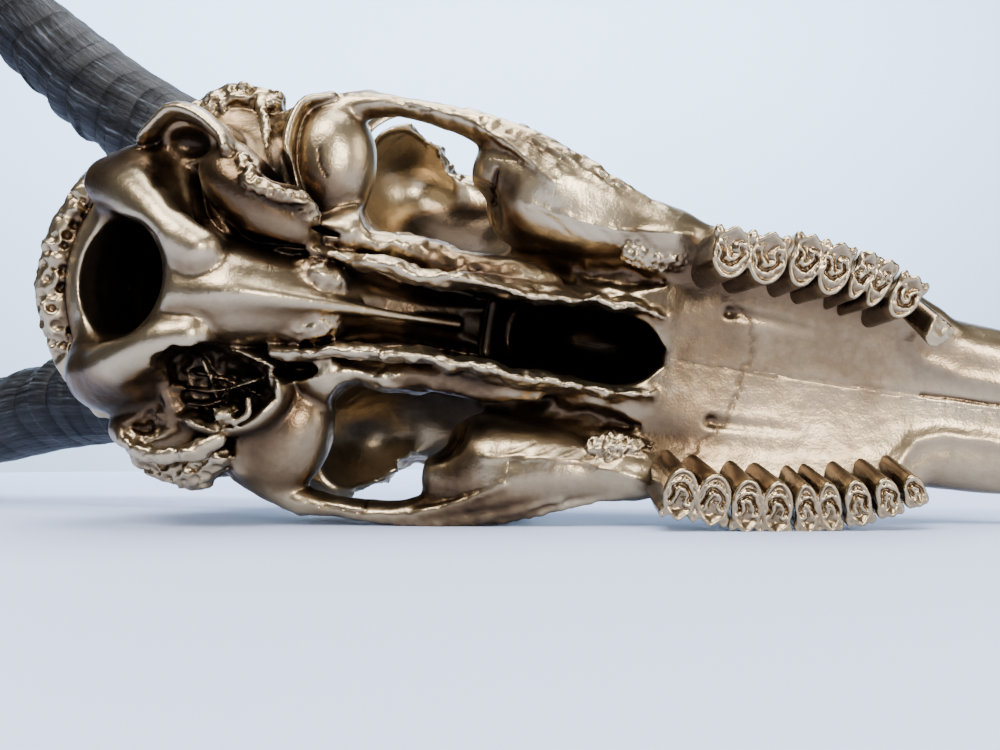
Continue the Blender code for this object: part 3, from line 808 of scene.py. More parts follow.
CONDYLES = {
    RIGHT: ((-9, 27, 10), (2, 24.4, 1), (10.5, 19.0, -4.5), (18.6, 13.2, -8.4), (26.0, 9.8, -9.6)),
    LEFT: ((-5, 28, 10), (4, 24.6, 2), (12, 19.4, -4), (19.4, 15.4, -7.6), (26.4, 13.4, -8.4)),
}
for side in SIDES:
    lay(ball((82, side * 17, 20), (26, 5.5, 15), (0, 0, side * -6)), 4, ragged(0.8, 6, 47))
    lay(ball((112, side * 13.6, 20), (30, 3.6, 18)), 4, ragged(0.6, 6, 48))
    lower = on(side, (48, 15.5, 2), (58, 14.2, 1), (70, 12.4, -0.5), (84, 11.2, -1),
        (104, 11.2, 0.5), (124, 11.4, 3.0), (140, 12.4, 4.6), (153, 11, 5.4))
    breadths = ((1.8, 4), (1.9, 4.6), (2.1, 6), (2.1, 6.4), (2.0, 7), (1.7, 7), (1.4, 6), (1.2, 5))
    lay(strap(wavy(lower, 0.9, 61 + side), breadths, steps=2), 2.4, ragged(0.9, 4.4, 38))
    lay(rope(on(side, (86, 15.5, 9), (98, 17, 8.4), (110, 17, 8), (122, 16, 8)),
        (3, 3.8, 3.8, 2.4)), 2, ragged(0.8, 5.5, 50))
    lay(strap(on(side, (54, 20, 10), (66, 18.5, 9), (78, 19.5, 11), (88, 20, 16)),
        ((2.4, 5), (2.2, 6), (2.0, 6), (1.4, 6))), 4, ragged(0.9, 4, 39))
    lay(strap(on(side, *CONDYLES[side]), ((7, 6.6), (7.4, 7), (7.0, 7.2), (6.8, 7.2), (6.8, 7.0)),
        up=(0.5, 0, -1)), 2.4)
    lay(ball((57, side * 7.2, 0.6), (9.0, 5.0, 6.0), (0, 0, side * -12)), 1.6, ragged(0.5, 1.9, 39))
    lay(strap(on(side, (150, 32.5, 5), (170, 32.0, 5.4), (190, 31.0, 5.4), (205, 29.0, 5.4),
        (216, 26.0, 5.2), (226, 22.0, 4.6)),
        ((6, 5.6), (6.4, 5.6), (6.4, 5.6), (6.0, 5.6), (5.6, 5.2), (4, 4))), 8)
carve(strap(((11, 0, -34), (5.8, 0, -11), (-2.0, 0, 8), (3, 0, 26)),
    ((16.5, 12), (16.8, 12), (17, 13.6), (15.5, 11)), up=(1, 0, 0)), 2.4)
lay(rope(((24, 2.4, -10), (38, 0.4, -12.6), (52, 0.4, -9.2), (66, 0.7, -3.2), (80, 0.8, 3),
    (97, 0.4, 11.5)), (2.6, 1.5, 1.2, 0.9, 0.7, 0.3)), 5)
print("condyles done,", len(WORK), "forms")

# %% Right ear bulb and its processes
lay(ball((37.5, -26.0, 1.5), (20.5, 10.2, 13.5), (0, 0, 31)), 1.2)
lay(ball((15, -42.0, 13), (13, 8.0, 10), (0, 0, 12)), 3)
lay(ball((29, -35.5, 1), (5, 6, 8)), 3)
lay(strap(on(RIGHT, (1.5, 41, 10), (3.5, 43.4, 6), (9.3, 48.6, 3.6), (17, 47.6, 1.6),
    (25.1, 42.5, -2), (29.2, 37.2, -6)),
    ((2.0, 5), (2.2, 6), (2.3, 6), (2.3, 6), (2.2, 6), (1.6, 5))), 1.6)
lay(rope(on(RIGHT, (33, 36, -7), (36, 31.4, -10), (40.5, 28, -11.4), (45.7, 27, -10.8),
    (50.4, 26.8, -8.5), (53, 24, -6), (55, 20, -3)), (2.2, 2.4, 2.6, 2.4, 2.8, 2.6, 1.6)),
    1.0, spongy(1.7, 2.4, 31))
lay(rope(on(RIGHT, (6, 48, 28), (11, 52.5, 27), (19, 57.4, 26), (27, 57.6, 25)),
    (4.5, 5.2, 5.4, 4.2)), 2, spongy(2.0, 3.2, 33))
lay(ball((30, -57.6, 25), (5, 4.4, 5)), 1.5, spongy(1.4, 2.4, 34))
lay(rope(on(RIGHT, (28, 56.5, 22), (31.5, 50.5, 14), (35, 44.6, 8), (37.4, 40, 4)),
    (1.8, 1.6, 1.8, 1.2)), 1.2, spongy(0.9, 2.0, 35))
print("right ear done,", len(WORK), "forms")

# %% Left ear bulb, broken
lay(ball((35, 28, 7), (19, 13.5, 14)), 2)
lay(ball((15, 41.5, 13), (14, 8.5, 10), (0, 0, -8)), 3)
lay(rope(on(LEFT, (8, 45, 6), (15, 47.6, 1.6), (24, 47.6, -1), (33, 44.5, -2), (37, 41.5, -2)),
    (2.0, 2.4, 2.4, 2.6, 2.0)), 2, ragged(0.8, 2.4, 40))
lay(rope(on(LEFT, (8, 49, 22), (18, 53, 19), (29, 53.6, 15), (36, 48, 8)), (5.0, 5.6, 5.4, 3.4)),
    3, spongy(1.8, 3.0, 37))
print("left ear done,", len(WORK), "forms")

# %% [markdown]
# ## Pits and broken places
#
# Small carving gives the eye its dark accents: the round pit under each hooked process, the
# tear-shaped pit in front of the ear, the broken ear bulb with thin walls inside, nerve holes, and
# the grooves in the palate. The last two balls are large and shallow: the valley along the palate,
# and the smooth facet of the right cheek, which catches the light.

# %% Carve the pits
carve(ball((13.6, -39.8, 0), (7.6, 5.6, 9.5)), 1.6)
carve(strap(on(RIGHT, (10, 36.5, -2), (13.6, 31, -4), (16.8, 25.4, -6), (19, 21.6, -8)),
    ((4.0, 8.5), (3.8, 8.2), (2.8, 7.6), (1.6, 7))), 3)
carve(strap(on(RIGHT, (17, 33, 3), (18.4, 28.6, 1), (21, 22.4, -1), (25.4, 18, -3), (31, 15.8, -4),
    (38, 14.8, -4), (51, 14.9, 1)),
    ((1.4, 8), (1.8, 9), (1.8, 10), (1.5, 9), (1.2, 7), (1.0, 6), (0.7, 4))), 1.6)
carve(strap(on(RIGHT, (42.5, 32.6, -2), (40.4, 37.5, 1), (38.2, 42, 4), (36, 46.5, 8)),
    ((3.8, 11), (3.4, 10), (2.2, 8), (1.0, 6))), 1)
carve(rope(((24, -51, 14), (30, -50, 10), (33, -52, 9)), (2.6, 2.4, 1.6)), 1.2)
carve(ball((35.0, 27.4, -5), (16.2, 11.4, 17), (0, 0, -4)), 0.8, ragged(1.1, 4, 41))
carve(ball((22, 32.5, -6), (8, 8, 10)), 3, ragged(0.9, 4, 52))
carve(ball((28.0, 19.6, -5), (11, 5.0, 13), (0, 0, -12)), 1.2, ragged(0.9, 4, 51))
carve(ball((25.5, 23.0, 1), (7.0, 6.0, 9), (0, 0, -20)), 1.4, ragged(0.8, 3, 46))
carve(ball((14.6, 40.4, -3), (9.6, 5.6, 9), (0, 0, -10)), 2.0, ragged(1.4, 3, 42))
for side in SIDES:
    slit = 2.6 if side == LEFT else 0.9
    carve(ball((54.5, side * 20.2, 5), (6.6, slit, 10), (0, 0, side * -10)), 1)
    carve(ball((90, side * 18.5, 15), (4.4, 2.0, 4)), 1)
    carve(rope(on(side, (171.8, 15.5, 1.0), (175, 15.6, 0.4), (184, 15.0, -0.1), (196, 14.2, -0.2)),
        (1.5, 1.3, 1.0, 0.6)), 0.8)
    lay(ball((148.5, side * 28.4, 1.6), (10.5, 5.8, 3.6)), 0.6, spongy(1.5, 1.2, 45))
    carve(rope(on(side, (110, 20, 20), (121, 19, 16), (126, 17.6, 12)), (3.4, 3.0, 2.2)), 1.4)
carve(ball((200, 0.8, -9.5), (56, 25, 12.4)), 6)
carve(ball((131, -38, -39.6), (40, 40, 40)), 3)
print("pits done,", len(WORK), "forms")

# %% Inside the broken ear bulb
lay(rope(((37.5, 34.5, 10), (37.5, 34.5, -2)), (2.8, 2.4)), 1, ragged(0.9, 1.5, 43))
THIN_WALLS = (
    ((22, 29, 9), (44, 24, 6)),
    ((25, 33, 7), (35, 31, 5)),
    ((27, 20, 8), (36, 36, 8)),
    ((24, 24, 11), (46, 29, 9)),
)
for n, (start, finish) in enumerate(THIN_WALLS):
    bend = (np.array(start) + finish) / 2 + (0, 2.0 - n, 1)
    lay(strap((start, tuple(bend), finish), ((0.45, 3.2), (0.45, 3.6), (0.45, 3.0))),
        0.6, ragged(0.25, 2, 44 + n))
lay(rope(((40.5, 36.6, -1), (44.2, 33.4, -2), (43.4, 29.4, -1)), (0.9, 0.9, 0.8)), 0.6)
print("all the work:", len(WORK), "forms")

# %% [markdown]
# ## Painted shade and highlights
#
# Deep places get painted shade, a dark brown that partly stands for bone the spray didn't reach.
# Each such place is noted as a form: points of the surface inside it get more painted shade, and
# the colour follows. A few places get a painted highlight, and their number is below zero.

# %% Dark places
SHADED = []


def painted_light_and_bare_bone(form, strength, fade):
    """Notes a space with painted shade, or painted highlight where the strength is below zero."""
    SHADED.append((form, strength, fade))


# Painted shade in deep places, partly the brown of bone that the spray didn't reach.
painted_light_and_bare_bone(ball((8, 0, 36), (26, 24, 22)), 0.30, 12)
throat = ((106, 8, 56, 8, 1.0), (116, 7, 56, 12, 1.0), (154, 6, 56, 14, 1.0), (160, 8, 56, 4, 1.0))
painted_light_and_bare_bone(hull(throat), 0.4, 10)
for middle, radii, strength, fade in (
    ((33, 26, 10), (17, 13, 14), 0.24, 5),
    ((13, -40, 9), (9, 7, 11), 0.10, 5),
    ((14.6, 40.4, 4), (12, 7, 9), 0.14, 5),
    ((40, -37, 6), (6, 9, 9), 0.20, 3),
    ((27, -28, -4), (12, 10, 10), 0.16, 8),
    ((96, 0, 6), (30, 10, 12), 0.16, 8),
    ((24, 31, -2), (14, 12, 10), 0.16, 8),
    ((54.5, 19.6, 14), (7, 4.5, 10), 0.3, 3),
    ((104, 57, 8), (44, 14, 14), 0.24, 8),
    # Strengths below zero are painted highlights.
    ((71, -51, 78), (25, 19, 26), -0.40, 12),
    ((90, -29, 72), (20, 12, 18), 0.75, 8),
    ((98, 0, 13), (18, 9, 9), 0.30, 5),
    ((109, 0, 20), (9, 11, 17), 0.8, 5),
    ((72, 46, 66), (24, 22, 26), -0.10, 12),
    ((124, -36, -1), (15, 9, 8), -0.40, 6),
    ((200, -13, 1), (50, 14, 8), 0.05, 10),
    ((164, 0, 2), (15, 26, 8), 0.07, 8),
    ((100, -58, 8), (44, 9, 12), 0.12, 6),
    ((46, -29, -8), (14, 7, 6), 0.20, 4),
    ((-4, -28, 13), (16, 13, 16), 0.30, 8),
    ((-2, 30, 13), (17, 17, 17), 0.28, 8),
    ((53, 43, 6), (14, 15, 9), 0.10, 6),
    ((178, -24, 0), (34, 7, 5), 0.09, 6),
    ((164, 25, 0), (20, 7, 5), 0.09, 6),
):
    painted_light_and_bare_bone(ball(middle, radii), strength, fade)
painted_light_and_bare_bone(ball((38, -25, -6), (24, 13, 10), (0, 0, 31)), 0.20, 8)
for side in SIDES:
    painted_light_and_bare_bone(ball((103, side * 34, 10), (10, 12, 11), (0, 0, side * -34)), 0.24, 4)
    for (x, y, z), radii, strength, fade in (
        ((47, 34, 6), (7, 9, 6), 0.10, 8),
        ((53, 32, 6), (10, 6, 8), 0.10, 7),
        ((97, 18.5, 8), (17, 6.5, 11), 0.26, 5),
        ((104, 11.6, -1), (54, 5, 7), 0.13, 4),
    ):
        painted_light_and_bare_bone(ball((x, side * y, z), radii), strength, fade)
print("dark places:", len(SHADED))

# %% [markdown]
# ## Parting the bones
#
# The skull is one clay body in eleven named bones, and each bone becomes a mesh of its own. The
# parting planes are the ones of the solids. A bone's skin is wrapped from the part of the clay on
# its side of the planes, plus a thin overlap, so that two bones meet without a gap that the real
# skull doesn't have. Where it does have a seam, that seam is engraved.

# %% Regions of the bones
FACE_FROM, MUZZLE_FROM = 118.0, 250.0
OVERLAP = 0.9


def beyond(place, ahead):
    """How far a point lies past a plane, which is below zero behind it."""
    ahead = np.array(ahead, float) / np.linalg.norm(ahead)
    return lambda x, y, z: sum(a * (axis - p) for a, axis, p in zip(ahead, (x, y, z), place))


def both_of(*parts):
    """Inside all of the parts."""

    def inside(x, y, z):
        made = parts[0](x, y, z)
        for part in parts[1:]:
            made = np.maximum(made, part(x, y, z))
        return made

    return inside


def not_in(part):
    """Outside a part."""
    return lambda x, y, z: -part(x, y, z)


OCCIPUT = beyond((8, 0, 15), (0.78, 0, 0.625))
CREST = beyond((FACE_FROM, 0, 38), (0.435, 0, 0.9))
NOSE_LINE = beyond((FACE_FROM, 0, 91), (0.374, 0, 0.927))
FACE = beyond((FACE_FROM, 0, 0), (-1, 0, 0))
TIP = beyond((MUZZLE_FROM, 0, 0), (-1, 0, 0))


def side_of(side, inner=0.0):
    """The half space on one side, from a distance out."""
    return beyond((0, side * inner, 0), (0, -side, 0))


def cheek(side):
    """The box that holds one cheek arch."""
    behind, above = beyond((66, 0, 0), (-1, 0, 0)), beyond((0, 0, 58), (0, 0, 1))
    return both_of(side_of(side, 47), behind, not_in(FACE), above)


HEAD = both_of(not_in(FACE), not_in(OCCIPUT), not_in(cheek(RIGHT)), not_in(cheek(LEFT)))
FINE, PLAIN = ((0.66, 0.95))
BONES = {
    "occipital_bone": ((-52, -68, -32), (56, 68, 80), FINE, OCCIPUT),
    "braincase": ((-34, -66, -32), (128, 66, 92), FINE, both_of(HEAD, CREST)),
    "frontal_bone": ((-14, -78, 34), (128, 78, 130), PLAIN, both_of(HEAD, not_in(CREST))),
}
for side, word in SIDES.items():
    ends = sorted((side * -8, side * 60))
    outer = sorted((side * 38, side * 82))
    inner = sorted((side * -8, side * 34))
    face = both_of(FACE, side_of(side))
    palate, roof = both_of(face, NOSE_LINE), both_of(face, not_in(NOSE_LINE))
    body, tip = both_of(palate, not_in(TIP)), both_of(palate, TIP)
    BONES["zygomatic_arch_" + word] = ((58, outer[0], -14), (126, outer[1], 66), FINE, cheek(side))
    BONES["maxilla_" + word] = ((110, ends[0], -18), (258, ends[1], 104), FINE, body)
    BONES["premaxilla_" + word] = ((242, inner[0], -18), (312, inner[1], 52), FINE, tip)
    BONES["nasal_" + word] = ((110, inner[0], 26), (284, inner[1], 112), PLAIN, roof)
print(len(BONES), "bones")

# %% [markdown]
# ## The gilt finish
#
# Metallic spray paint isn't smooth gold, and it lies thin over the bone's grain. Each mesh carries
# a colour number that mostly says how much bone surrounds a point: painted shade in hollows, partly
# the brown of bone the spray missed, and painted highlight on ridges. The colour runs along it from
# champagne to dark brown, and noise breaks it up, because no real coat is even.


# %% Gilt
def gilt(name, colours, roughness, grain):
    """Sprayed champagne gold, with painted shade in hollows and painted highlight on open places.
    """
    paint = Paint(name)
    paint.shader["Metallic"].default_value = 1.0
    place = paint.nodes.new("ShaderNodeTexCoord").outputs["Object"]
    cloud, speck = paint.noise(place, 38.0, 4.0), paint.noise(place, 420.0, 3.0)
    patchy = paint.maths("MULTIPLY_ADD", cloud, 0.16, -0.08)
    fine = paint.maths("MULTIPLY_ADD", speck, 0.10, -0.05)
    # The carried number brings painted shade and highlight into the colour; the noise is the uneven
    # coat.
    depth = paint.maths("ADD", paint.carried("hollow", "Fac"), patchy)
    paint.grade("Base Color", paint.maths("ADD", depth, fine), colours)
    uneven = paint.maths("ADD", paint.maths("MULTIPLY", cloud, 0.6), fine)
    gloss = [(0.25, (roughness - 0.07,) * 3), (0.75, (roughness + 0.10,) * 3)]
    paint.grade("Roughness", uneven, gloss)
    skin, peel = paint.noise(place, 1500.0, 4.0), paint.noise(place, 330.0, 3.0)
    paint.relief(paint.maths("ADD", paint.maths("MULTIPLY", skin, 0.35), peel), grain, 0.0003)
    return paint.made


# Champagne on open places to dark brown; the brown end is mostly painted shade.
GILT_COLOURS = [
    (0.00, (0.44, 0.35, 0.225)),
    (0.42, (0.37, 0.288, 0.178)),
    (0.53, (0.27, 0.20, 0.12)),
    (0.63, (0.165, 0.11, 0.06)),
    (0.75, (0.095, 0.058, 0.032)),
    (0.92, (0.028, 0.019, 0.012)),
]
BONE_GILT = gilt("bone_gilt", GILT_COLOURS, 0.36, 0.55)
print("gilt mixed")

# %% [markdown]
# ## Engraving
#
# Sutures, cracks and muscle lines are too fine to lay on as forms, so they're pressed into the
# finished mesh. A stroke is a path; points near it move along their own normal, and only where the
# surface faces down, as it's seen in the photo. That is how a chaser works a bronze after casting.

# %% Strokes
STROKES = []
STROKE_REACH = 14.0
FACES_DOWN = -0.12
FLAT = (1, 1, 0)


def score(points, width, depth, dark=0.5):
    """Notes a groove, or a ridge where the depth is negative."""
    STROKES.append((np.array(points, float), width, depth, dark))


def stroke_gap(verts, path):
    """Distance of each point from a path, seen from below."""
    nearest = np.full(len(verts), 1e9)
    for a, b in zip(path, path[1:]):
        run, offset = b - a, verts - a
        flat, flat_run = offset * FLAT, run * FLAT
        share = np.clip((flat @ flat_run) / max(flat_run @ flat_run, 1e-6), 0, 1)[:, None]
        gap = np.sqrt(((flat - share * flat_run) ** 2).sum(axis=1))
        too_high = np.abs((offset - share * run)[:, 2]) > STROKE_REACH
        nearest = np.minimum(nearest, gap + np.where(too_high, 1e3, 0))
    return nearest


def engrave(verts, normals, hollow):
    """Presses all strokes into a mesh."""
    push = np.zeros(len(verts))
    for path, width, depth, dark in STROKES:
        low, high = path.min(axis=0) - STROKE_REACH, path.max(axis=0) + STROKE_REACH
        close = ((verts > low) & (verts < high)).all(axis=1) & (normals[:, 2] < FACES_DOWN)
        if close.any():
            mark = np.exp(-((stroke_gap(verts[close], path) / width) ** 2))
            push[close] -= depth * mark
            # The groove is darkened: painted shade in the crease, and the dark seam of a suture.
            hollow[close] += dark * max(depth, 0) * mark
    return verts + normals * push[:, None], hollow


def wander(points, size, step, seed):
    """A path that strays from side to side, as a suture does."""
    route = smooth_path(points, 8)
    length = distances_along(route)
    line = points_at(np.arange(0, length[-1], step), length, route)
    chance = np.random.default_rng(seed)
    stray = chance.uniform(-1, 1, (len(line), 3)) * size
    stray[:, 2] = 0
    return line + stray


# %% Sutures, cracks and lines
score(wander(((160, 0.5, 0), (178, 0.2, -1), (200, -0.8, -1), (222, -1.5, 0), (246, -2.4, 2)),
    0.35, 1.1, 101), 0.35, 0.14, dark=0.3)
score(((228, -1.7, 1), (246, -2.4, 2), (262, -3, 3), (300, -4.4, 6)), 0.38, 0.9)
score(wander(((172.5, -19, 0), (178, -12, 0), (180, -6, 0), (178.5, 0, 0), (177.5, 7, 0),
    (175, 15, 0), (167.3, 25.4, 0)), 1.0, 1.5, 102), 0.35, 0.28, dark=0.4)
score(((222, -15, 1), (227, -10.5, 1), (238, -8, 1), (256, -7.6, 2), (290, -9, 5)), 2.2, -0.7)
score(((222.5, 21.5, 1), (223.9, 19.1, 1), (228.3, 11.3, 1), (235, 8.5, 1), (246, 8, 2),
    (285, 10, 5)), 2.2, -0.8)
score(((50.8, -43, 8), (51.6, -39, 8), (54, -35.7, 8)), 0.45, 0.5)
score(wander(((67.9, -60.5, 12), (73, -59, 12), (81.1, -57.3, 12)), 0.8, 1.4, 103), 0.4, 0.55)
score(wander(((77.6, 49, 12), (79, 53, 12), (79.4, 59, 12)), 0.8, 1.4, 104), 0.4, 0.55)
score(wander(((66, 58.2, 12), (72, 58.6, 12), (79, 58.2, 12)), 0.4, 1.6, 105), 0.35, 0.5)
score(((101.0, -44, 6), (100.8, -40, 6), (101.4, -36, 6)), 0.6, 1.2)
for side in SIDES:
    score(on(side, (112, 35.7, 0), (121, 34.1, -2), (138, 32.4, -2), (157, 34.5, -3)), 1.2, -0.6)
    for k in range(5):
        score(on(side, (112 + 6 * k, 36 - 0.6 * k, 0), (118 + 6 * k, 33.4, -1),
            (124 + 6 * k, 29.6, 0)), 0.6, 0.22)
score(((5.5, -35, 8), (8.2, -30.4, 2), (10.4, -26.6, -2)), 1.6, 0.25, dark=1.4)
print("strokes:", len(STROKES))


# %% Make the bones
def carry(mesh, name, kind, field, values):
    """Lets a mesh carry a number or a direction at each point, for its paint to read."""
    made = mesh.attributes.new(name, kind, "POINT")
    made.data.foreach_set(field, values.astype(np.float32).ravel())


def place_mesh(name, verts, faces, hollow, paint, node, slot):
    """A smooth object from points in the skull's frame."""
    mesh = bpy.data.meshes.new(name)
    mesh.vertices.add(len(verts))
    mesh.vertices.foreach_set("co", laid_down(verts).astype(np.float32).ravel())
    mesh.loops.add(faces.size)
    mesh.loops.foreach_set("vertex_index", faces.astype(np.int32).ravel())
    mesh.polygons.add(len(faces))
    starts = np.arange(0, faces.size, faces.shape[1], dtype=np.int32)
    mesh.polygons.foreach_set("loop_start", starts)
    mesh.update(calc_edges=True)
    mesh.shade_smooth()
    carry(mesh, "hollow", "FLOAT", "value", hollow)
    mesh.materials.append(paint)
    made = put_in(name, mesh)
    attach(made, "root")
    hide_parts(node)
    return made


# Bone crowding within these radii paints shade into hollows and a highlight onto ridges.
NEAR, WIDE = 2.0, 7.0
NEAR_SHARE, WIDE_SHARE = 0.50, 0.90
# Painted shade on faces that look down towards the floor.
FLOOR_FACING_SHADE = 0.17
UNEVEN, UNEVEN_SIZE, UNEVEN_SEED = 0.20, 12.0, 91


def shade_at(verts):
    """How much painted shade, or painted highlight below zero, each point gets from the noted
    places.
    """
    total = np.zeros(len(verts))
    for form, strength, fade in SHADED:
        close = ((verts > form.low - fade) & (verts < form.high + fade)).all(axis=1)
        if close.any():
            x, y, z = verts[close].T
            apart = np.min([distance(x, y, z) for low, high, distance in form.pieces], axis=0)
            total[close] += strength * np.clip(0.5 - apart / fade, 0, 1)
    return total


def shade_facing_floor(normals):
    """Painted shade on faces that look to the animal's left, down towards the floor."""
    return FLOOR_FACING_SHADE * np.clip(0.2 + normals[:, 1], 0, 1)


def bone_skin(low, high, step, region):
    """The clay inside a box, worked, parted and wrapped."""
    clay = Clay(low, high, step)
    for form, blend, carved, rough in WORK:
        clay.work(form, blend, carved, rough)
    near, wide = crowding(clay, NEAR), crowding(clay, WIDE)
    x, y, z = clay.window(low, high)[1]
    verts, faces = wrap(np.maximum(clay.out, region(x, y, z) - OVERLAP), clay.low, step)
    verts, faces = main_body(verts, faces)
    near, wide = read_off(near, clay, verts), read_off(wide, clay, verts)
    # Much bone round a point paints shade into a hollow, little bone paints a highlight on a ridge.
    hollow = 0.5 + NEAR_SHARE * (near - 0.5) + WIDE_SHARE * (wide - 0.5)
    # The noted places add their painted shade, and painted highlight below zero.
    return verts, faces, hollow + shade_at(verts)


for name, (low, high, step, region) in BONES.items():
    verts, faces, hollow = bone_skin(low, high, step, region)
    normals = outward_normals(verts, faces)
    verts = verts + normals * (UNEVEN * layered(*verts.T, UNEVEN_SIZE, UNEVEN_SEED))[:, None]
    # Painted shade on faces towards the floor.
    hollow = hollow + shade_facing_floor(normals)
    verts, hollow = engrave(verts, normals, hollow)
    place_mesh(name + "_gilt", verts, faces, hollow, BONE_GILT, name, "gilt_bone")
    print(name, len(faces), "faces")

# %% [markdown]
# ## Cheek teeth
#
# A blesbok grinds grass, so its cheek teeth are tall columns with a folded chewing face. Enamel
# stands up as thin walls: one round the outside, with sharp ribs on the cheek side, and one round a
# crescent-shaped pocket in each lobe. The softer dentine between them wears into smooth basins. We
# write that face as heights over the tooth's own plan, and wrap it in finer clay than the bone.

# %% Sizes of the teeth
TOOTH_SEAT = -3.0
CROWN_HEIGHT = 16.0
ROOT_DEPTH = 5.5
ROW_HALF, ROW_STRAIGHT_TO, ROW_CURVE = 34.3, 178.0, 0.0055
OUTWARD = 0.17
RIGHT_IN, RIGHT_TOED, TOED_BEHIND = 2.4, 0.07, 205.0
LEAN_AT, LEAN = (165, 212), (11.0, 4.0)
STUB_FOOT, STUB_TOP = (219.6, -23.4, -3.0), (224.6, -17.6, -12.0)
TOOTH_STEP = 0.34
TOOTH_MARGIN = 1.6
ENAMEL_WIDE, ENAMEL_TALL = 0.44, 0.45
ENAMEL_FROM_EDGE, ENAMEL_FROM_POCKET = 0.62, 0.50
BASIN_DEEP, CUSP_TALL, CHEEK_WORN = 0.75, 1.1, 0.4
ROOTWARD_DARKER = 0.27
TEETH = {
    LEFT: (
        ("m3", 168.3, 17.4, 13.2, 2),
        ("m2", 185.5, 15.6, 13.6, 2),
        ("m1", 199.8, 11.8, 12.4, 2),
        ("p4", 209.8, 7.0, 11.4, 1),
        ("p3", 217.0, 6.3, 9.6, 1),
        ("p2", 223.4, 5.4, 7.6, 1),
    ),
    RIGHT: (
        ("m3", 171.0, 19.0, 13.2, 2),
        ("m2", 189.3, 15.7, 13.6, 2),
        ("m1", 202.8, 10.0, 12.4, 2),
        ("p4", 212.3, 7.6, 11.4, 1),
    ),
}


def row_y(side, x):
    """How far out the middle of the tooth row stands at x."""
    half = ROW_HALF - ROW_CURVE * max(0.0, x - ROW_STRAIGHT_TO) ** 2
    if side == RIGHT:
        half = half - RIGHT_IN - RIGHT_TOED * max(0.0, TOED_BEHIND - x)
    return side * half


def tooth_axes(side, x, tall):
    """Foot and top of a tooth's middle line, and its directions along and across the row."""
    lean = math.radians(np.interp(x, LEAN_AT, LEAN))
    top = np.array([x, row_y(side, x), TOOTH_SEAT - tall])
    foot = np.array([x - tall * math.tan(lean), top[1] - side * tall * OUTWARD, TOOTH_SEAT])
    heading = -side * 2 * ROW_CURVE * max(0.0, x - ROW_STRAIGHT_TO)
    along = np.array([1, heading, 0]) / math.hypot(1, heading)
    return foot, top, along, np.array([-side * along[1], side * along[0], 0])


print("teeth:", sum(len(row) for row in TEETH.values()), "and one broken root")

# %% [markdown]
# ## The plan of a tooth
#
# In plan a lobe is an egg that's narrow towards the tongue. Two lobes side by side leave a deep
# notch between them, and three small ribs are added along the cheek edge. The pocket is an arc of a
# circle, open to the cheek, so its distance formula is the distance to a circle's line.


# %% Plan, pockets and chewing face
def soft_min(a, b, blend):
    """The smaller of two distances, with a fillet."""
    soft = np.maximum(blend - np.abs(a - b), 0) / blend
    return np.minimum(a, b) - soft * soft * blend / 4


def lobe_middles(length, lobes):
    """Where the lobes stand along the tooth, and half their length."""
    if lobes == 1:
        return [0.0], length / 2
    return [-length / 4, length / 4], length / 4 * 1.06


def plan(u, v, length, breadth, lobes):
    """Distance outside the outline of a tooth; u runs along the row, v towards the cheek."""
    middles, half = lobe_middles(length, lobes)
    wide = breadth / 2
    made = None
    for middle in middles:
        narrow = half * (1.02 - 0.10 * np.clip(-v / wide, 0, 1) ** 2)
        lobe = egg_distance((u - middle, v), (narrow, np.full_like(v, wide)))
        made = lobe if made is None else soft_min(made, lobe, 0.5)
    if lobes == 2:
        ribs = [-length / 2 + 0.5, 0, length / 2 - 0.5]
    else:
        ribs = [-length / 2 + 0.6, length / 2 - 0.6]
    for rib in ribs + middles:
        size = 0.85 if rib in middles else 1.15
        made = soft_min(made, np.hypot(u - rib, (v - wide * 0.86) * 0.7) - size, 1.6)
    return made


def pocket(u, v, length, breadth, lobes, seed):
    """Distance to the edge of the nearest crescent pocket."""
    middles, half = lobe_middles(length, lobes)
    made = np.full(np.broadcast(u, v).shape, 9.0)
    for n, middle in enumerate(middles):
        round_half = half * 0.52
        a, b = u - middle, (v - breadth * 0.05) * 0.78
        a = a + 0.35 * np.sin(b * 1.9 + seed + n)
        line = np.abs(np.hypot(a, b) - round_half)
        tips = np.hypot(np.abs(a) - round_half * 1.02, b - 0.9)
        line = np.where(b < 0.55, line, tips)
        swollen = 0.30 + 0.22 * np.sin(a * 2.3 + seed * 1.7) ** 2
        made = np.minimum(made, line - swollen)
    return made


def chewing_face(u, v, length, breadth, lobes, seed):
    """Height of the worn face above the tooth's nominal top."""
    middles, half = lobe_middles(length, lobes)
    outline = plan(u, v, length, breadth, lobes)
    crescent = pocket(u, v, length, breadth, lobes, seed)
    wall = np.minimum(np.abs(outline + ENAMEL_FROM_EDGE), np.abs(crescent - ENAMEL_FROM_POCKET))
    basin = np.clip((wall - 0.4) / 2.0, 0, 1)
    height = ENAMEL_TALL * np.exp(-((wall / ENAMEL_WIDE) ** 2)) - BASIN_DEEP * basin * (2 - basin)
    height = np.where(crescent < 0, np.maximum(-BASIN_DEEP, 1.7 * crescent - 0.1), height)
    cusps = sum(np.exp(-(((u - middle) / (half * 0.55)) ** 2)) for middle in middles)
    cheekwards = np.clip(v / (breadth / 2), 0, 1)
    height = height + CUSP_TALL * cusps * cheekwards**2 - CHEEK_WORN * cheekwards
    return height + 0.14 * layered(u, v, 0 * u, 2.0, seed, 2)


pit = chewing_face(np.zeros(1), np.ones(1), 17.0, 13.2, 2, 5)[0]
print("face of a molar drops", round(float(-pit), 2), "mm")
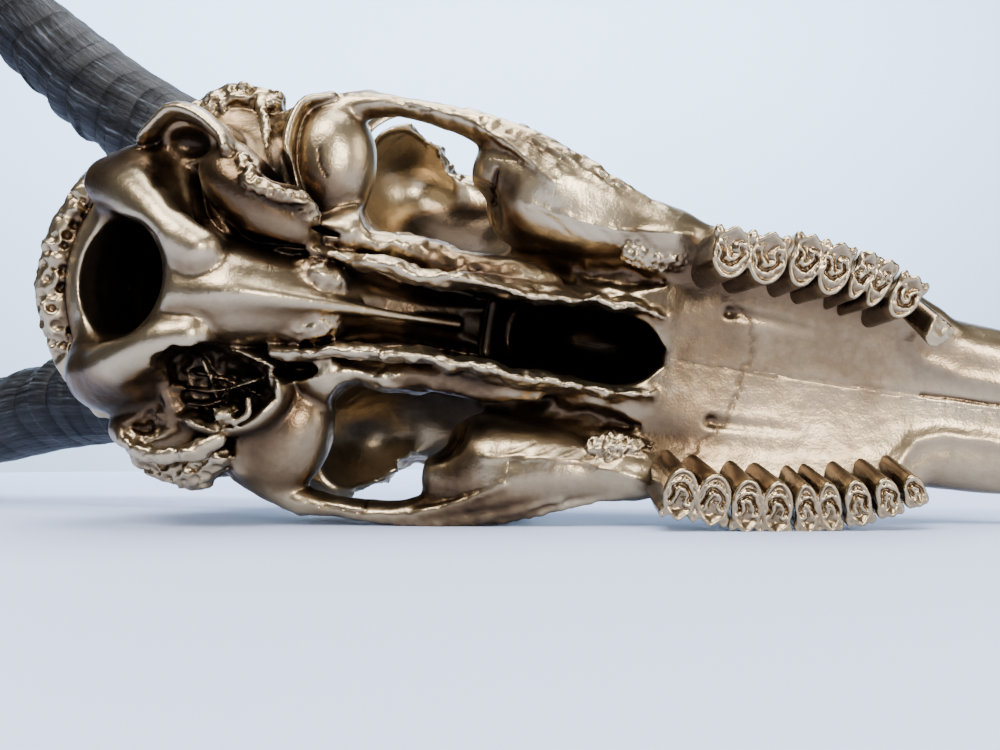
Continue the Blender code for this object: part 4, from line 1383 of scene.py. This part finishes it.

# %% [markdown]
# ## Making the teeth
#
# Each tooth is wrapped in its own small frame and then leaned forwards and outwards into the row.
# Its colour number gets painted shade where much of the tooth surrounds a point, and grows
# towards the root, so the column turns brown there.


# %% Make the teeth
def tooth_skin(side, x, length, breadth, lobes, tall, seed, stub=False):
    """Points, faces and colour numbers, with painted shade, of one tooth."""
    foot, top, along, across = tooth_axes(side, x, tall)
    if stub:
        foot, top = np.array(STUB_FOOT), np.array(STUB_TOP)
    high = np.array([length / 2 + TOOTH_MARGIN, breadth / 2 + TOOTH_MARGIN, tall + 3])
    low = (-high[0], -high[1], -ROOT_DEPTH - 1)
    clay = Clay(low, high, TOOTH_STEP)
    u, v, w = np.broadcast_arrays(*clay.window(low, high)[1])
    share = np.clip(w / tall, -0.4, 1)
    narrow = 0.88 + 0.12 * share
    outer = plan(u / narrow, v / narrow, length, breadth, lobes) * narrow
    outer = outer + 0.12 * layered(u, v, w / 4, 2.2, seed + 3)
    flat_u, flat_v = u[:, :, :1], v[:, :, :1]
    if stub:
        face = 0.35 * layered(flat_u, flat_v, 0 * flat_u, 2.6, seed, 2) - 0.12 * flat_u
    else:
        face = chewing_face(flat_u, flat_v, length, breadth, lobes, seed)
    lid = (w - tall - face) * 0.75
    clay.out[:] = np.maximum(np.maximum(outer, lid), -ROOT_DEPTH - w)
    near = crowding(clay, 1.1)
    verts, faces = main_body(*wrap(clay.out, clay.low, clay.step))
    column = np.clip(1 - verts[:, 2] / tall, 0, 1)
    # Painted shade where much of the tooth surrounds a point, and darker towards the root.
    hollow = 0.53 + 0.75 * (read_off(near, clay, verts) - 0.5)
    hollow = hollow + ROOTWARD_DARKER * np.clip(column * 5 - 0.5, 0, 1)
    if stub:
        hollow = np.where(verts[:, 2] > tall - 0.8, 0.44, 0.60)
    share = (verts[:, 2] / tall)[:, None]
    placed = foot + (top - foot) * share + verts[:, :1] * along + verts[:, 1:2] * across
    return placed, faces if side == LEFT else faces[:, ::-1], hollow


TOOTH_GILT = gilt("tooth_gilt", GILT_COLOURS, 0.33, 0.2)
for side, word in SIDES.items():
    for seed, (name, x, length, breadth, lobes) in enumerate(TEETH[side]):
        skin = tooth_skin(side, x, length, breadth, lobes, CROWN_HEIGHT, 11 * seed + 3 * side + 40)
        node = f"tooth_{name}_{word}"
        place_mesh(node + "_gilt", *skin, TOOTH_GILT, node, "gilt_teeth")
        print(word, name, len(skin[1]), "faces")
skin = tooth_skin(RIGHT, 220.4, 6.2, 6.4, 1, 10.5, 91, stub=True)
place_mesh("tooth_p3_right_gilt", *skin, TOOTH_GILT, "tooth_p3_right", "gilt_teeth")

# %% [markdown]
# ## Horns
#
# A horn is a bony core inside a sheath of keratin, the stuff of fingernails. The sheath grows from
# its foot, and each season leaves a ring, so rings lie close at the foot and fade towards the
# smooth tip. A horn is a tube whose thickness changes, so it is lofted: rings of points along a
# smooth path, with the season rings and the fine lengthwise grain added to the radius.

# %% Sizes of the horns
HORN_BASE = (43.0, 27.0, 105.0)
HORN_PATH = ((-48, 56, 150), (-114, 87, 180), (-174, 119, 228), (-213, 143, 294), (-226, 154, 362))
HORN_SWAY, SWAY_OVER = -14.0, 230.0
HORN_RADII = ((0, 20.5), (0.25, 18.4), (0.45, 16.2), (0.65, 12.8), (0.82, 8.8), (0.94, 5.2),
    (1, 2.0))
HORN_RINGS = 18
RINGED_TO = 0.74
RING_DEPTH = 0.17
HORN_SIDES, HORN_LEVELS = ((144, 640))
RINGS_CROWD, CREST_ROUND = 0.86, 0.55
INNER_FLAT = 0.55
LUMP_ROUND, LUMP_ALONG = 9, 26


def horn_skin(side):
    """Points, faces, colour numbers with a painted crest highlight, and grain directions of a horn.
    """
    path = smooth_path(on(side, HORN_BASE, *HORN_PATH), 200)
    path[:, 1] += HORN_SWAY * np.clip((HORN_BASE[0] - path[:, 0]) / SWAY_OVER, 0, 1)
    length = distances_along(path)
    stops = np.linspace(0, 1, HORN_LEVELS) ** 0.98 * length[-1]
    line = points_at(stops, length, path)
    ahead = np.gradient(line, axis=0)
    ahead /= np.linalg.norm(ahead, axis=1, keepdims=True)
    across = np.cross((1.0, 0.0, 0.0), ahead)
    across /= np.linalg.norm(across, axis=1, keepdims=True)
    over = np.cross(ahead, across)
    angle = np.linspace(0, 2 * math.pi, HORN_SIDES, endpoint=False)[None, :]
    share = (stops / length[-1])[:, None]
    radius = np.interp(share, *zip(*HORN_RADII))
    stray = 0.10 * np.sin(angle * 2 + 11 * share) + 0.07 * np.sin(angle * 3 - 23 * share + side)
    phase = HORN_RINGS * (share / RINGED_TO) ** RINGS_CROWD + stray
    crest = np.abs(np.sin(math.pi * phase)) ** CREST_ROUND
    fade = np.clip((RINGED_TO + 0.06 - share) / 0.14, 0, 1)
    inward = -side * (across[:, 1:2] * np.sin(angle) + over[:, 1:2] * np.cos(angle))
    front = INNER_FLAT + (1 - INNER_FLAT) * inward
    uneven = 0.8 + 0.35 * np.sin(np.floor(phase + 0.5) * 2.4 + side)
    x, y, z = np.cos(angle) * LUMP_ROUND, np.sin(angle) * LUMP_ROUND, share * LUMP_ALONG
    lumps = layered(x, y, z, 3.2, 71 + side, 2)
    grain = layered(x * 3.2, y * 3.2, share * 14, 0.9, 77 + side, 2)
    bump = RING_DEPTH * crest * fade * front * uneven + 0.012 * lumps * fade
    thick = radius * (1 + bump) + (0.16 * grain + 0.25 * lumps) * np.clip(radius / 12, 0.2, 1)
    thick[0] *= 0.2
    thick[-1] *= 0.1
    spoke = across[:, None] * np.sin(angle)[..., None] + over[:, None] * np.cos(angle)[..., None]
    verts = line[:, None] + thick[..., None] * spoke
    level, turn = np.meshgrid(np.arange(HORN_LEVELS - 1), np.arange(HORN_SIDES), indexing="ij")
    following = (turn + 1) % HORN_SIDES
    here, there = level * HORN_SIDES, (level + 1) * HORN_SIDES
    faces = [here + turn, here + following, there + following, there + turn]
    faces = np.stack(faces, axis=-1).reshape(-1, 4)
    # Paler on the ring crests: blue-grey dust and a painted highlight; the grain is the horn's own.
    hollow = 0.5 - 0.16 * (crest * fade - 0.5) - 0.22 * grain
    hollow = np.broadcast_to(hollow, thick.shape).ravel()
    lie = np.stack(np.broadcast_arrays(np.cos(angle), np.sin(angle), share * 3.0), axis=-1)
    return verts.reshape(-1, 3), faces, hollow, lie.reshape(-1, 3)


print("rings on each horn:", HORN_RINGS)

# %% [markdown]
# ## The look of horn
#
# Old horn is nearly black, with a dull shine that follows its fibres, and pale blue-grey dust on
# the worn crests, which also get a painted highlight. The fibres are noise that is stretched along
# the horn. To stretch it along a bent shape, every point carries its own direction round the horn
# and its distance along it.


# %% Horn sheath
def horn_sheath():
    """Dark keratin with lengthwise fibres, and dusty crests with a painted highlight."""
    paint = Paint("horn_sheath")
    paint.shader["Specular IOR Level"].default_value = 0.14
    lie = paint.carried("lie", "Vector")
    fibres, clouds = paint.noise(lie, 26.0, 5.0), paint.noise(lie, 3.2, 3.0)
    worn = paint.maths("MULTIPLY_ADD", fibres, 0.55, paint.maths("MULTIPLY", clouds, 0.35))
    # The carried number: horn grain, and the paler crests with their painted highlight.
    depth = paint.maths("SUBTRACT", paint.maths("ADD", worn, 0.5), paint.carried("hollow", "Fac"))
    paint.grade("Base Color", depth, HORN_COLOURS)
    paint.grade("Roughness", fibres, [(0.3, (0.36,) * 3), (0.7, (0.58,) * 3)])
    paint.relief(fibres, 0.55, 0.0006)
    return paint.made


HORN_COLOURS = [
    (0.28, (0.004, 0.004, 0.0045)),
    (0.50, (0.011, 0.0115, 0.013)),
    (0.64, (0.025, 0.027, 0.031)),
    (0.82, (0.095, 0.104, 0.122)),
]
HORN_SHEATH = horn_sheath()
for side, word in SIDES.items():
    verts, faces, hollow, lie = horn_skin(side)
    faces = faces if side == LEFT else faces[:, ::-1]
    node = "horn_" + word
    made = place_mesh(node + "_sheath", verts, faces, hollow, HORN_SHEATH, node, "horn_sheath")
    carry(made.data, "lie", "FLOAT_VECTOR", "vector", lie)
    print("horn", word, len(faces), "faces")
